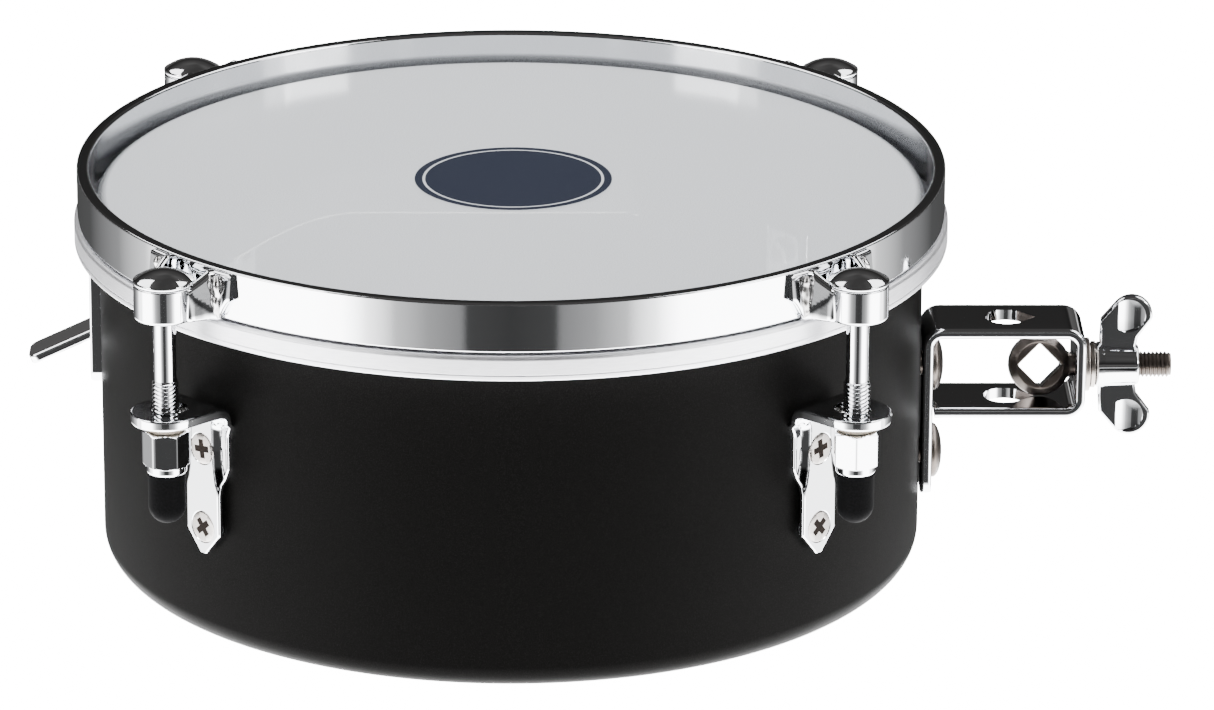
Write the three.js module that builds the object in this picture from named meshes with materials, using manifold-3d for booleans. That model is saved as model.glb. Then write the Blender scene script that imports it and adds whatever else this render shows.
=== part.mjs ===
// Drummer's timbale: a shallow 10 inch steel drum with four tension lugs, a snare unit under the
// head worked by a side lever, and a clamp bracket that holds the drum on a stand rod.
// Units are millimetres. The origin is the centre of the playing surface, +Z is up, +X points to
// the clamp bracket and -X to the snare lever.
import * as THREE from 'three';
import { mergeVertices } from 'three/addons/utils/BufferGeometryUtils.js';
import Module from 'manifold-3d';

const wasm = await Module();
wasm.setup();

// ---- driving dimensions ----
const GAP = 0.3;              // clearance between pieces that touch
const RING_STEPS = 64;        // facets round the shell, head and hoops
const ROUND_STEPS = 12;       // facets round the small hardware

const SHELL = {
  radius: 127, sheet: 1.2, bottom: -115.8, bottomRoll: 7.4, flange: 8.6, rollTop: 2.7, lip: 5.6,
};
const HEAD = { sheet: 0.5, collarRoll: 3.5, skirtBottom: -13 };
const FLESH_HOOP = { inner: 128.2, outer: 134.55, top: -7.45, bottom: -15.04, edge: 1.6 };
const COUNTERHOOP = { inner: 129.7, outer: 133.5, top: 8.5, bottom: -6.84, edge: 0.9 };

const LUG = {
  azimuths: { front_right: -45, front_left: -135, rear_right: 45, rear_left: 135 },
  rodRadius: 144.7,
};
const EAR = {
  boss: 9, bore: 6.3, sheet: 2.6, footInner: 9.5, footOuter: 17.5, footTop: 8, footKnee: 0, footLow: -4.5,
  rootTop: 8.1, rootBottom: -7.1, bossTop: 4, bossBottom: -6.5,
};
const ROD = {
  headRadius: 9.1, headBottom: 4.2, headEdge: 0.6, headTop: 8.3, shank: 3.4, thread: 4, threadTop: -25.8,
  end: -66,
};
const BRACKET = {
  face: 130.6, sheet: 1.7, shelfTop: -35.9, shelfSheet: 3.05, halfWidth: 11.2, endRadius: 10.5,
  slotRadius: 4.4, slotReach: 3.2, shoulder: -57, neck: -62.2, neckHalfWidth: 6.9, taper: -78.3, tip: -85.1,
  screwHeights: { upper: -51.8, lower: -76.8 }, standOff: 6.3, seat: 129.5,
};
const LUG_SCREW = { head: 4.9, headHeight: 1.1, shank: 2.2, end: 121 };
const LUG_PLATE = { outerFace: 125.2, sheet: 2, halfWidth: 7, top: -45, bottom: -83 };
const TUNING_WASHER = { outer: 6.75, inner: 4.4, height: 2.45 };
const TUNING_NUT = {
  acrossFlats: 12.7, top: -42, hexBottom: -52.8, collar: 5.95, bottom: -55.35, bore: 4.35,
};
// How far a nut is turned from having a flat square to the front, in degrees.
const NUT_TURNS = { front_right: 30 };
const CAP = { radius: 5.65, bottom: -71.3, bore: 4.3, boreEnd: -66.4 };

const CLAMP = {
  sheet: 3.3, width: 24.4, back: 127.3, top: -43, right: 177.8, armBottom: -72.2, legBottom: -98.2,
  bend: 6, returnEnd: 131.2, keyholeX: 153.5, keyholeRadius: 6.5, keyholeTip: 162.6, legCorner: 4,
};
const CLAMP_BOLT = {
  heights: { upper: -58, lower: -87 }, head: 8.5, headHeight: 3.4, shank: 4, end: 113.5, hole: 4.4,
};
const CLAMP_PLATE = { outerFace: 124.9, sheet: 2.5, halfWidth: 10, top: -47, bottom: -98 };
const CLAMP_NUT = { acrossFlats: 13, height: 6.5 };
const EYE = {
  x: 164, z: -58.6, radius: 9.5, length: 12.4, chamfer: 3.2, holeHalfDiagonal: 7, tiltDeg: -17,
  shank: 4, end: 205,
};
const CLAMP_WASHER = { outer: 8.35, inner: 4.4, thickness: 1.5 };
const WING = {
  hubRadius: 7.1, hubEndRadius: 6.2, end: 194.9, thickness: 3, lobeRadius: 6.5, lobeX: 192.4,
  lobeOffset: 16.4, innerX: 182.9, innerOffset: 15.5, bore: 4.35,
};

const STRAINER = {
  outer: 130, sheet: 1.5, back: 127.5, halfWidth: 10.5, top: -19, bottom: -61.4, corner: 4,
};
const STRAINER_SCREW = {
  heights: { upper: -27, lower: -55.8 }, head: 4, headHeight: 1.8, shank: 2, end: 129.7,
};
const PIVOT = { x: -118, z: -41, pin: 2, pinHalfLength: 10.4 };
const PIVOT_BRACKET = {
  outerFace: 124.9, sheet: 2, halfWidth: 9.2, cheek: 1.7, reach: 112.5, top: -20, bottom: -61.4,
};
const LEVER_SLOT = { top: -39.6, bottom: -49.5, halfWidth: 7.15 };
const LEVER = {
  halfWidth: 6.8, sheet: 2.2, hub: 4, reach: 34, slopeDeg: 25, tail: 13, tailSlopeDeg: 30, tipRadius: 2.6,
};
const SNARE_ARM = { start: 6, end: 37.5, low: 1.4, sheet: 1.5, halfWidth: 6.8 };
const SNARE_HOLDER = { start: 32.5, end: 40, low: 3.2, sheet: 2, halfWidth: 20.8 };
const SNARE = { sheet: 1.6, halfWidth: 19.5, level: -1.9, flatStart: -46, end: 36.5, tipLength: 2.6 };

// ---- materials ----
const LOOKS = {
  shell_black: { color: 0x26272a, roughness: 0.45, metalness: 0.3 },
  head_white: { color: 0xd2d4d8, roughness: 0.6, metalness: 0 },
  chrome: { color: 0xdfe1e4, roughness: 0.08, metalness: 1 },
  aluminium: { color: 0xbfc1c4, roughness: 0.35, metalness: 1 },
  nickel: { color: 0xcfcdc6, roughness: 0.3, metalness: 1 },
  dark_nickel: { color: 0x8d8984, roughness: 0.28, metalness: 1 },
  rubber: { color: 0x141416, roughness: 0.75, metalness: 0 },
  zinc: { color: 0xaeb1b4, roughness: 0.4, metalness: 1 },
  snare_wire: { color: 0xd6d6d2, roughness: 0.3, metalness: 1 },
};

// ---- solids: closed geometry in and out of the boolean library ----
function toSolid(geometry) {
  const bare = geometry.clone();
  bare.deleteAttribute('normal');
  bare.deleteAttribute('uv');
  const merged = mergeVertices(bare, 1e-4);
  const vertProperties = new Float32Array(merged.attributes.position.array);
  const triVerts = new Uint32Array(merged.index.array);
  return new wasm.Manifold(new wasm.Mesh({ numProp: 3, vertProperties, triVerts }));
}

function toGeometry(solid) {
  const result = solid.getMesh();
  const geometry = new THREE.BufferGeometry();
  geometry.setAttribute('position', new THREE.BufferAttribute(new Float32Array(result.vertProperties), 3));
  geometry.setIndex(new THREE.BufferAttribute(new Uint32Array(result.triVerts), 1));
  return geometry;
}

function cut(geometry, cutters) {
  return toGeometry(cutters.reduce((solid, cutter) => solid.subtract(toSolid(cutter)), toSolid(geometry)));
}

function join(geometries) {
  const [first, ...rest] = geometries.map(toSolid);
  return toGeometry(rest.reduce((solid, other) => solid.add(other), first));
}

function common(a, b) {
  return toGeometry(toSolid(a).intersect(toSolid(b)));
}

// ---- shapes ----
// A lathe about Z through [radius, z] points that start and end on the axis, taken in the order
// that turns the faces outwards.
function lathe(points, steps = ROUND_STEPS) {
  const profile = points.map(([r, z]) => new THREE.Vector2(r, z));
  if (THREE.ShapeUtils.area(profile) < 0) profile.reverse();
  return new THREE.LatheGeometry(profile, steps).rotateX(Math.PI / 2);
}

// A ring about Z whose [radius, z] section closes on itself.
function ring(points, steps = ROUND_STEPS) {
  return lathe([...points, points[0]], steps);
}

function washer(inner, outer, low, high) {
  return ring([[inner, low], [outer, low], [outer, high], [inner, high]]);
}

// A rod along +Z from low to high.
function rod(radius, low, high, steps = ROUND_STEPS) {
  return new THREE.CylinderGeometry(radius, radius, high - low, steps)
    .rotateX(Math.PI / 2)
    .translate(0, 0, (low + high) / 2);
}

// A rod along X from start to end, at height z on the XZ plane.
function rodX(radius, start, end, z, steps = ROUND_STEPS) {
  return rod(radius, start, end, steps).rotateY(Math.PI / 2).translate(0, 0, z);
}

function box(low, high) {
  const size = high.map((value, i) => value - low[i]);
  return new THREE.BoxGeometry(...size).translate(...low.map((value, i) => value + size[i] / 2));
}

function outline(points) {
  return new THREE.Shape(points.map(([x, y]) => new THREE.Vector2(x, y)));
}

// An outline drawn in plan, [x, y], extruded up from low to high.
function slab(shape, low, high, curveSegments = 8) {
  return new THREE.ExtrudeGeometry(shape, { depth: high - low, bevelEnabled: false, curveSegments })
    .translate(0, 0, low);
}

// An outline drawn in side view, [x, z], extruded along Y across the centre plane.
function sidePlate(shape, halfWidth, curveSegments = 6) {
  return slab(shape, -halfWidth, halfWidth, curveSegments).rotateX(Math.PI / 2);
}

// An outline drawn in front view, [y, z], extruded along X from low to high.
function frontPlate(shape, low, high, curveSegments = 6) {
  return slab(shape, low, high, curveSegments).rotateX(Math.PI / 2).rotateZ(Math.PI / 2);
}

// Points on an arc about [cx, cz]; angles in degrees, both ends included.
function arc(cx, cz, radius, fromDeg, toDeg, steps) {
  return Array.from({ length: steps + 1 }, (_, i) => {
    const angle = THREE.MathUtils.degToRad(fromDeg + ((toDeg - fromDeg) * i) / steps);
    return [cx + radius * Math.cos(angle), cz + radius * Math.sin(angle)];
  });
}

// The closed outline of a bent sheet: both sides of a centre line, offset by half the sheet.
function sheetOutline(line, sheet) {
  const side = (sign) => line.map(([x, z], i) => {
    const [px, pz] = line[Math.max(i - 1, 0)];
    const [nx, nz] = line[Math.min(i + 1, line.length - 1)];
    const before = new THREE.Vector2(x - px, z - pz).normalize();
    const after = new THREE.Vector2(nx - x, nz - z).normalize();
    const along = before.clone().add(after).normalize();
    const reach = i === 0 || i === line.length - 1 ? 1 : 1 / along.dot(before);
    return [x - (sign * along.y * reach * sheet) / 2, z + (sign * along.x * reach * sheet) / 2];
  });
  return [...side(1), ...side(-1).reverse()];
}

function hexagon(acrossFlats) {
  const corner = acrossFlats / Math.sqrt(3);
  return outline(arc(0, 0, corner, 0, 300, 5));
}

// Rounds two lower corners of a front-view plate: [y, z] points from one side round to the other.
function roundedFoot(halfWidth, bottom, radius, steps = 3) {
  return [
    ...arc(halfWidth - radius, bottom + radius, radius, 0, -90, steps),
    ...arc(-halfWidth + radius, bottom + radius, radius, -90, -180, steps),
  ];
}

// ---- shell and head ----
const lugSpots = Object.entries(LUG.azimuths);

function shell() {
  const { radius, sheet, bottom, bottomRoll, flange, rollTop, lip } = SHELL;
  const middle = radius - sheet / 2;
  const rollX = radius - bottomRoll;
  const topX = radius - rollTop;
  const topZ = -HEAD.sheet - GAP - rollTop;
  const line = [
    [rollX - flange, bottom + sheet / 2],
    ...arc(rollX, bottom + bottomRoll, bottomRoll - sheet / 2, -90, 0, 3),
    ...arc(topX, topZ, middle - topX, 0, 90, 2),
    [topX - lip, topZ + (middle - topX) - lip * 0.8],
  ];
  const cutters = [
    ...lugSpots.flatMap(([, azimuth]) => Object.values(BRACKET.screwHeights)
      .map((z) => rodX(LUG_SCREW.shank + GAP, 100, 140, z, 12).rotateZ(THREE.MathUtils.degToRad(azimuth)))),
    ...Object.values(CLAMP_BOLT.heights).map((z) => rodX(CLAMP_BOLT.hole, 100, 140, z)),
    ...Object.values(STRAINER_SCREW.heights).map((z) => rodX(STRAINER_SCREW.shank + GAP, -140, -100, z, 12)),
    leverSlot(),
  ];
  return cut(ring(sheetOutline(line, sheet), RING_STEPS), cutters);
}

function headFilm() {
  const outer = SHELL.radius + GAP + HEAD.sheet;
  const inner = SHELL.radius + GAP;
  const centre = outer - HEAD.collarRoll;
  return lathe([
    [0, -HEAD.sheet],
    ...arc(centre, -HEAD.collarRoll, HEAD.collarRoll - HEAD.sheet, 90, 0, 2),
    [inner, HEAD.skirtBottom],
    [outer, HEAD.skirtBottom],
    ...arc(centre, -HEAD.collarRoll, HEAD.collarRoll, 0, 90, 2),
    [0, 0],
  ], RING_STEPS);
}

function fleshHoop() {
  const { inner, outer, top, bottom, edge } = FLESH_HOOP;
  const round = arc(outer - edge, top - edge, edge, 0, 90, 2);
  return ring([[inner, bottom], [outer, bottom], ...round, [inner, top]], RING_STEPS);
}

function counterhoop() {
  const { inner, outer, top, bottom, edge } = COUNTERHOOP;
  return ring([
    [inner, bottom],
    [outer, bottom],
    [outer, top - edge],
    [outer - edge, top],
    [inner + edge, top],
    [inner, top - edge],
  ], RING_STEPS);
}

// ---- tension lugs: each is drawn at azimuth 0, with the rod axis at x = LUG.rodRadius ----
// The welded ear: a round boss for the rod, two splayed legs, and a foot on each leg.
function hoopEar() {
  const { boss, bore, sheet, footInner, footOuter, footTop, footKnee, footLow } = EAR;
  const hoop = COUNTERHOOP.outer + GAP;
  const onHoop = (y) => Math.sqrt(hoop * hoop - y * y);
  const leg = (sign) => slab(outline([
    [onHoop(footInner), sign * footInner],
    [onHoop(footOuter), sign * footOuter],
    [onHoop(footOuter) + sheet, sign * footOuter],
    [onHoop(footInner) + sheet + 0.8, sign * (footInner + 1.6)],
    [LUG.rodRadius, sign * boss],
    [LUG.rodRadius, sign * (boss - sheet)],
    [LUG.rodRadius - boss * 0.55, sign * (boss - sheet)],
  ]), EAR.rootBottom, EAR.rootTop);
  const body = cut(
    join([leg(1), leg(-1), rod(boss, EAR.rootBottom, EAR.rootTop, 24).translate(LUG.rodRadius, 0, 0)]),
    [
      rod(bore, -20, 20).translate(LUG.rodRadius, 0, 0),
      rod(ROD.headRadius + GAP, EAR.bossTop, 20, 24).translate(LUG.rodRadius, 0, 0),
    ],
  );
  const sideView = sidePlate(outline([
    [130, EAR.rootBottom],
    [LUG.rodRadius - boss, EAR.bossBottom],
    [160, EAR.bossBottom],
    [160, EAR.bossTop],
    [LUG.rodRadius - boss * 0.7, EAR.bossTop],
    [hoop + sheet, EAR.rootTop],
    [130, EAR.rootTop],
  ]), 30);
  const frontView = frontPlate(outline([
    [footOuter, footTop],
    [footOuter, footKnee],
    [footInner + 1.5, footLow],
    [footInner + 1.5, EAR.rootBottom],
    [-footInner - 1.5, EAR.rootBottom],
    [-footInner - 1.5, footLow],
    [-footOuter, footKnee],
    [-footOuter, footTop],
  ]), 120, 170);
  return common(common(body, sideView), frontView);
}

// The rod's head is a spherical cap on a thin upright edge.
function tensionRod() {
  const { headRadius, headBottom, headEdge, headTop, shank, thread, threadTop, end } = ROD;
  const rim = headBottom + headEdge;
  const rise = headTop - rim;
  const ball = (headRadius ** 2 + rise ** 2) / (2 * rise);
  const cap = [1, 0.85, 0.65, 0.4, 0].map((share) => {
    const radius = share * headRadius;
    return [radius, headTop - ball + Math.sqrt(ball ** 2 - radius ** 2)];
  });
  return lathe([
    [0, end],
    [thread, end],
    [thread, threadTop - 0.6],
    [shank, threadTop],
    [shank, headBottom],
    [headRadius, headBottom],
    ...cap,
  ]).translate(LUG.rodRadius, 0, 0);
}

// The lug bracket: a shelf that takes the rod, bent down into a pointed plate screwed to the shell.
function lugBracket() {
  const { face, sheet, shelfTop, shelfSheet, halfWidth, endRadius, slotRadius, slotReach } = BRACKET;
  const { shoulder, neck, neckHalfWidth, taper, tip, standOff, seat } = BRACKET;
  const screws = Object.values(BRACKET.screwHeights);
  const plate = frontPlate(outline([
    [-halfWidth, shelfTop],
    [-halfWidth, shoulder],
    [-neckHalfWidth, neck],
    [-neckHalfWidth, taper],
    ...arc(0, tip + 2, 2, -135, -45, 2),
    [neckHalfWidth, taper],
    [neckHalfWidth, neck],
    [halfWidth, shoulder],
    [halfWidth, shelfTop],
  ]), face - sheet, face);
  const shelf = slab(outline([
    [face - sheet, -halfWidth],
    [face + 2, -halfWidth],
    ...arc(LUG.rodRadius, 0, endRadius, -80, 80, 8),
    [face + 2, halfWidth],
    [face - sheet, halfWidth],
  ]), shelfTop - shelfSheet, shelfTop);
  const slot = slab(outline([
    ...arc(LUG.rodRadius, 0, slotRadius, -90, 90, 6),
    ...arc(LUG.rodRadius - slotReach, 0, slotRadius, 90, 270, 6),
  ]), shelfTop - 10, shelfTop + 5);
  const standOffs = screws.map((z) => rodX(standOff, SHELL.radius + GAP, face - 0.5, z, 16));
  const holes = screws.map((z) => rodX(LUG_SCREW.shank + GAP, 120, 140, z));
  const sinks = screws.map((z) => rodX(LUG_SCREW.head + GAP, seat, 140, z, 16));
  return cut(join([plate, shelf, ...standOffs]), [slot, ...holes, ...sinks]);
}

// A flat-headed screw, sunk into the bracket.
function lugScrew(z) {
  const { head, headHeight, shank, end } = LUG_SCREW;
  const seat = BRACKET.seat + GAP;
  return lathe([
    [0, end],
    [shank, end],
    [shank, seat],
    [head, seat],
    [head, seat + headHeight - 0.2],
    [head - 0.2, seat + headHeight],
    [0, seat + headHeight],
  ], 16).rotateY(Math.PI / 2).translate(0, 0, z);
}

function lugBackingPlate() {
  const { outerFace, sheet, halfWidth, top, bottom } = LUG_PLATE;
  const holes = Object.values(BRACKET.screwHeights).map((z) => rodX(LUG_SCREW.shank + GAP, 110, 140, z, 12));
  return cut(box([outerFace - sheet, -halfWidth, bottom], [outerFace, halfWidth, top]), holes);
}

function tuningWasher() {
  const { outer, inner, height } = TUNING_WASHER;
  const top = BRACKET.shelfTop - BRACKET.shelfSheet - GAP;
  return ring([
    [inner, top - height],
    [outer * 0.82, top - height],
    [outer, top - height * 0.45],
    [outer, top],
    [inner, top],
  ]).translate(LUG.rodRadius, 0, 0);
}

// Every nut stands with a flat to the front, whatever the azimuth of its lug.
function tuningNut(turnDeg) {
  const { acrossFlats, top, hexBottom, collar, bottom, bore } = TUNING_NUT;
  const hex = slab(hexagon(acrossFlats), hexBottom, top).rotateZ(THREE.MathUtils.degToRad(turnDeg));
  return cut(join([hex, rod(collar, bottom, hexBottom + 1)]), [rod(bore, bottom - 5, top + 5)])
    .translate(LUG.rodRadius, 0, 0);
}

function rubberCap() {
  const { radius, bottom, bore, boreEnd } = CAP;
  const top = TUNING_NUT.bottom - GAP;
  return lathe([
    [0, bottom],
    ...arc(0, bottom + radius, radius, -60, 0, 3),
    [radius, top],
    [bore, top],
    [bore, boreEnd],
    [0, boreEnd],
  ]).translate(LUG.rodRadius, 0, 0);
}

// ---- stand clamp ----
function keyhole() {
  const { keyholeX, keyholeRadius, keyholeTip } = CLAMP;
  const touch = THREE.MathUtils.radToDeg(Math.acos(keyholeRadius / (keyholeTip - keyholeX)));
  return outline([[keyholeTip, 0], ...arc(keyholeX, 0, keyholeRadius, touch, 360 - touch, 14)]);
}

// One strap of flat steel: a leg on the shell, then a box that runs out, down and back to the leg.
function clampBracket() {
  const { sheet, width, back, top, right, armBottom, legBottom, bend, returnEnd, legCorner } = CLAMP;
  const half = sheet / 2;
  const radius = bend - half;
  const line = [
    [back + half, legBottom],
    ...arc(back + bend, top - bend, radius, 180, 90, 3),
    ...arc(right - bend, top - bend, radius, 90, 0, 3),
    ...arc(right - bend, armBottom + bend, radius, 0, -90, 3),
    [returnEnd, armBottom + half],
  ];
  const strap = sidePlate(outline(sheetOutline(line, sheet)), width / 2);
  const front = frontPlate(outline([
    [width / 2, top + 5],
    ...roundedFoot(width / 2, legBottom, legCorner),
    [-width / 2, top + 5],
  ]), back - 5, right + 5);
  const cutters = [
    slab(keyhole(), armBottom - 5, top + 5),
    ...Object.values(CLAMP_BOLT.heights).map((z) => rodX(CLAMP_BOLT.hole, back - 5, back + 8, z)),
    rodX(CLAMP_BOLT.hole, right - 8, right + 5, EYE.z),
  ];
  return cut(common(strap, front), cutters);
}

function clampBolt(z) {
  const { head, headHeight, shank, end } = CLAMP_BOLT;
  const seat = CLAMP.back + CLAMP.sheet + GAP;
  return lathe([
    [0, end],
    [shank, end],
    [shank, seat],
    [head, seat],
    [head, seat + 0.7],
    [head * 0.82, seat + headHeight * 0.6],
    [head * 0.5, seat + headHeight * 0.9],
    [0, seat + headHeight],
  ]).rotateY(Math.PI / 2).translate(0, 0, z);
}

function clampBackingPlate() {
  const { outerFace, sheet, halfWidth, top, bottom } = CLAMP_PLATE;
  const holes = Object.values(CLAMP_BOLT.heights).map((z) => rodX(CLAMP_BOLT.hole, 110, 140, z));
  return cut(box([outerFace - sheet, -halfWidth, bottom], [outerFace, halfWidth, top]), holes);
}

function clampNut(z) {
  const seat = CLAMP_PLATE.outerFace - CLAMP_PLATE.sheet - GAP;
  const hex = slab(hexagon(CLAMP_NUT.acrossFlats), seat - CLAMP_NUT.height, seat).rotateY(Math.PI / 2);
  return cut(hex, [rodX(CLAMP_BOLT.hole, 100, 140, 0)]).translate(0, 0, z);
}

// The eyebolt, with its diamond eye turned up towards the front.
function eyebolt() {
  const { x, z, radius, length, chamfer, holeHalfDiagonal, tiltDeg, shank, end } = EYE;
  const half = length / 2;
  const eye = lathe([
    [0, -half],
    [radius - chamfer, -half],
    [radius, -half + chamfer],
    [radius, half - chamfer],
    [radius - chamfer, half],
    [0, half],
  ], 24);
  const diamond = slab(outline(arc(0, 0, holeHalfDiagonal, 0, 270, 3)), -length, length);
  const bolt = rodX(shank, holeHalfDiagonal + 1, end - x, 0);
  return cut(join([eye, bolt]), [diamond])
    .rotateX(Math.PI / 2 + THREE.MathUtils.degToRad(tiltDeg))
    .translate(x, 0, z);
}

const washerStack = CLAMP.right + GAP;

function clampWasher(start) {
  const { inner, outer, thickness } = CLAMP_WASHER;
  return washer(inner, outer, start, start + thickness).rotateY(Math.PI / 2).translate(0, 0, EYE.z);
}

// A split ring: the cut through one side is skewed like that of a real spring washer.
function springWasher(start) {
  const { inner, outer, thickness } = CLAMP_WASHER;
  const plain = washer(inner, outer - 1.1, start, start + thickness).rotateY(Math.PI / 2);
  const split = box([-5, -0.5, 0], [5, 0.5, 12]).rotateZ(0.5).translate(start + thickness / 2, 0, 0);
  return cut(plain, [split]).translate(0, 0, EYE.z);
}

function wingNut() {
  const { hubRadius, hubEndRadius, end, thickness, bore } = WING;
  const { lobeRadius, lobeX, lobeOffset, innerX, innerOffset } = WING;
  const start = washerStack + 2 * (CLAMP_WASHER.thickness + GAP);
  const hub = lathe([[0, start], [hubRadius, start], [hubEndRadius, end], [0, end]], 20).rotateY(Math.PI / 2);
  const wings = sidePlate(outline([
    [start + 0.6, 0],
    [innerX, innerOffset],
    ...arc(lobeX, lobeOffset, lobeRadius, 150, -20, 8),
    [end - 1, 0],
    ...arc(lobeX, -lobeOffset, lobeRadius, 20, -150, 8),
    [innerX, -innerOffset],
  ]), thickness / 2);
  return cut(join([hub, wings]), [rodX(bore, start - 5, end + 5, 0)]).translate(0, 0, EYE.z);
}

// ---- snare unit, on the -X side ----
// The opening for the lever, through the shell, the guard and the web of the pivot bracket.
function leverSlot() {
  const { top, bottom, halfWidth } = LEVER_SLOT;
  return box([-140, -halfWidth, bottom], [-110, halfWidth, top]);
}

function strainerGuard() {
  const { outer, sheet, back, halfWidth, top, bottom, corner } = STRAINER;
  const face = (half, high, low, radius) => outline([
    [half, high],
    ...arc(half - radius, low + radius, radius, 0, -90, 5),
    ...arc(-half + radius, low + radius, radius, -90, -180, 5),
    [-half, high],
  ]);
  const block = frontPlate(face(halfWidth, top, bottom, corner), -outer, -back);
  const inner = face(halfWidth - sheet, top + 5, bottom + sheet, corner - sheet);
  const pocket = frontPlate(inner, -outer + sheet, -back + 5);
  const holes = Object.values(STRAINER_SCREW.heights)
    .map((z) => rodX(STRAINER_SCREW.shank + GAP, -140, -110, z, 12));
  return cut(block, [pocket, leverSlot(), ...holes]);
}

// A screw put in from inside the shell, its end level with the guard.
function strainerScrew(z) {
  const { head, headHeight, shank, end } = STRAINER_SCREW;
  const seat = PIVOT_BRACKET.outerFace - PIVOT_BRACKET.sheet - GAP;
  return lathe([
    [0, seat - headHeight],
    [head * 0.6, seat - headHeight],
    [head, seat - headHeight * 0.4],
    [head, seat],
    [shank, seat],
    [shank, end],
    [0, end],
  ]).rotateY(-Math.PI / 2).translate(0, 0, z);
}

// The bracket inside the shell: a web screwed through the guard, and two cheeks for the pivot pin.
function pivotBracket() {
  const { outerFace, sheet, halfWidth, cheek, reach, top, bottom } = PIVOT_BRACKET;
  const web = box([-outerFace, -halfWidth, bottom], [-outerFace + sheet, halfWidth, top]);
  const cheekOutline = outline([
    [-outerFace + 0.5, PIVOT.z + 9],
    ...arc(PIVOT.x, PIVOT.z, -PIVOT.x - reach, 90, -90, 6),
    [-outerFace + 0.5, PIVOT.z - 9],
  ]);
  const side = (sign) => sidePlate(cheekOutline, cheek / 2).translate(0, sign * (halfWidth - cheek / 2), 0);
  const holes = Object.values(STRAINER_SCREW.heights)
    .map((z) => rodX(STRAINER_SCREW.shank + GAP, -140, -110, z, 12));
  const pinHole = sidePlate(outline(arc(PIVOT.x, PIVOT.z, PIVOT.pin + GAP, 0, 330, 11)), 20);
  return cut(join([web, side(1), side(-1)]), [leverSlot(), pinHole, ...holes]);
}

function pivotPin() {
  return sidePlate(outline(arc(PIVOT.x, PIVOT.z, PIVOT.pin, 0, 330, 11)), PIVOT.pinHalfLength);
}

// Turns a plate drawn outwards from the pivot, [distance, height], into place in side view.
function fromPivot(geometry, slopeDeg) {
  return geometry.rotateY(-THREE.MathUtils.degToRad(slopeDeg)).translate(PIVOT.x, 0, PIVOT.z);
}

function snareLever() {
  const { halfWidth, sheet, hub, reach, slopeDeg, tail, tailSlopeDeg, tipRadius } = LEVER;
  const half = sheet / 2;
  const handle = slab(outline([
    [0, -halfWidth],
    ...arc(reach - tipRadius, -halfWidth + tipRadius, tipRadius, -90, 0, 3),
    ...arc(reach - tipRadius, halfWidth - tipRadius, tipRadius, 0, 90, 3),
    [0, halfWidth],
  ]), -half, half).rotateZ(Math.PI);
  const inner = box([0, -halfWidth, -half], [tail, halfWidth, half]);
  const barrel = sidePlate(outline(arc(0, 0, hub, 0, 345, 23)), halfWidth);
  const body = join([
    fromPivot(handle, slopeDeg),
    fromPivot(inner, tailSlopeDeg),
    fromPivot(barrel, 0),
  ]);
  return cut(body, [sidePlate(outline(arc(PIVOT.x, PIVOT.z, PIVOT.pin + GAP, 0, 330, 11)), 20)]);
}

function snareArm() {
  const { start, end, low, sheet, halfWidth } = SNARE_ARM;
  return fromPivot(box([start, -halfWidth, low], [end, halfWidth, low + sheet]), LEVER.tailSlopeDeg);
}

function snareHolder() {
  const { start, end, low, sheet, halfWidth } = SNARE_HOLDER;
  return fromPivot(box([start, -halfWidth, low], [end, halfWidth, low + sheet]), LEVER.tailSlopeDeg);
}

// The band of snare wires: it leaves the holder on the arm's slope and bends up flat under the head.
function snareWires() {
  const slope = THREE.MathUtils.degToRad(LEVER.tailSlopeDeg);
  const reach = SNARE_HOLDER.end + GAP;
  const rise = SNARE_HOLDER.low + SNARE_HOLDER.sheet / 2;
  const startX = PIVOT.x + reach * Math.cos(slope) - rise * Math.sin(slope);
  const startZ = PIVOT.z + reach * Math.sin(slope) + rise * Math.cos(slope);
  const curve = new THREE.CubicBezierCurve(
    new THREE.Vector2(startX, startZ),
    new THREE.Vector2(startX + 11 * Math.cos(slope), startZ + 11 * Math.sin(slope)),
    new THREE.Vector2(SNARE.flatStart - 16, SNARE.level),
    new THREE.Vector2(SNARE.flatStart, SNARE.level),
  );
  const line = [...curve.getPoints(8).map((p) => [p.x, p.y]), [SNARE.end, SNARE.level]];
  return sidePlate(outline(sheetOutline(line, SNARE.sheet)), SNARE.halfWidth);
}

function snareTip() {
  const start = SNARE.end + GAP;
  const half = SNARE.sheet / 2;
  return box(
    [start, -SNARE_HOLDER.halfWidth, SNARE.level - half],
    [start + SNARE.tipLength, SNARE_HOLDER.halfWidth, SNARE.level + half],
  );
}

// ---- assembly ----
const timbale = new THREE.Group();

function add(parent, name, look, geometry) {
  const mesh = new THREE.Mesh(geometry, new THREE.MeshStandardMaterial(LOOKS[look]));
  mesh.name = name;
  parent.add(mesh);
}

add(timbale, 'shell', 'shell_black', shell());
add(timbale, 'head_film', 'head_white', headFilm());
add(timbale, 'flesh_hoop', 'aluminium', fleshHoop());
add(timbale, 'counterhoop', 'chrome', counterhoop());

for (const [place, azimuth] of lugSpots) {
  const lug = new THREE.Group();
  lug.rotation.z = THREE.MathUtils.degToRad(azimuth);
  timbale.add(lug);
  add(lug, `hoop_ear_${place}`, 'chrome', hoopEar());
  add(lug, `tension_rod_${place}`, 'chrome', tensionRod());
  add(lug, `lug_bracket_${place}`, 'chrome', lugBracket());
  add(lug, `lug_backing_plate_${place}`, 'zinc', lugBackingPlate());
  add(lug, `tuning_washer_${place}`, 'nickel', tuningWasher());
  add(lug, `tuning_nut_${place}`, 'chrome', tuningNut((NUT_TURNS[place] ?? 0) - azimuth));
  add(lug, `rubber_cap_${place}`, 'rubber', rubberCap());
  for (const [height, z] of Object.entries(BRACKET.screwHeights)) {
    add(lug, `lug_screw_${height}_${place}`, 'nickel', lugScrew(z));
  }
}

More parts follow.
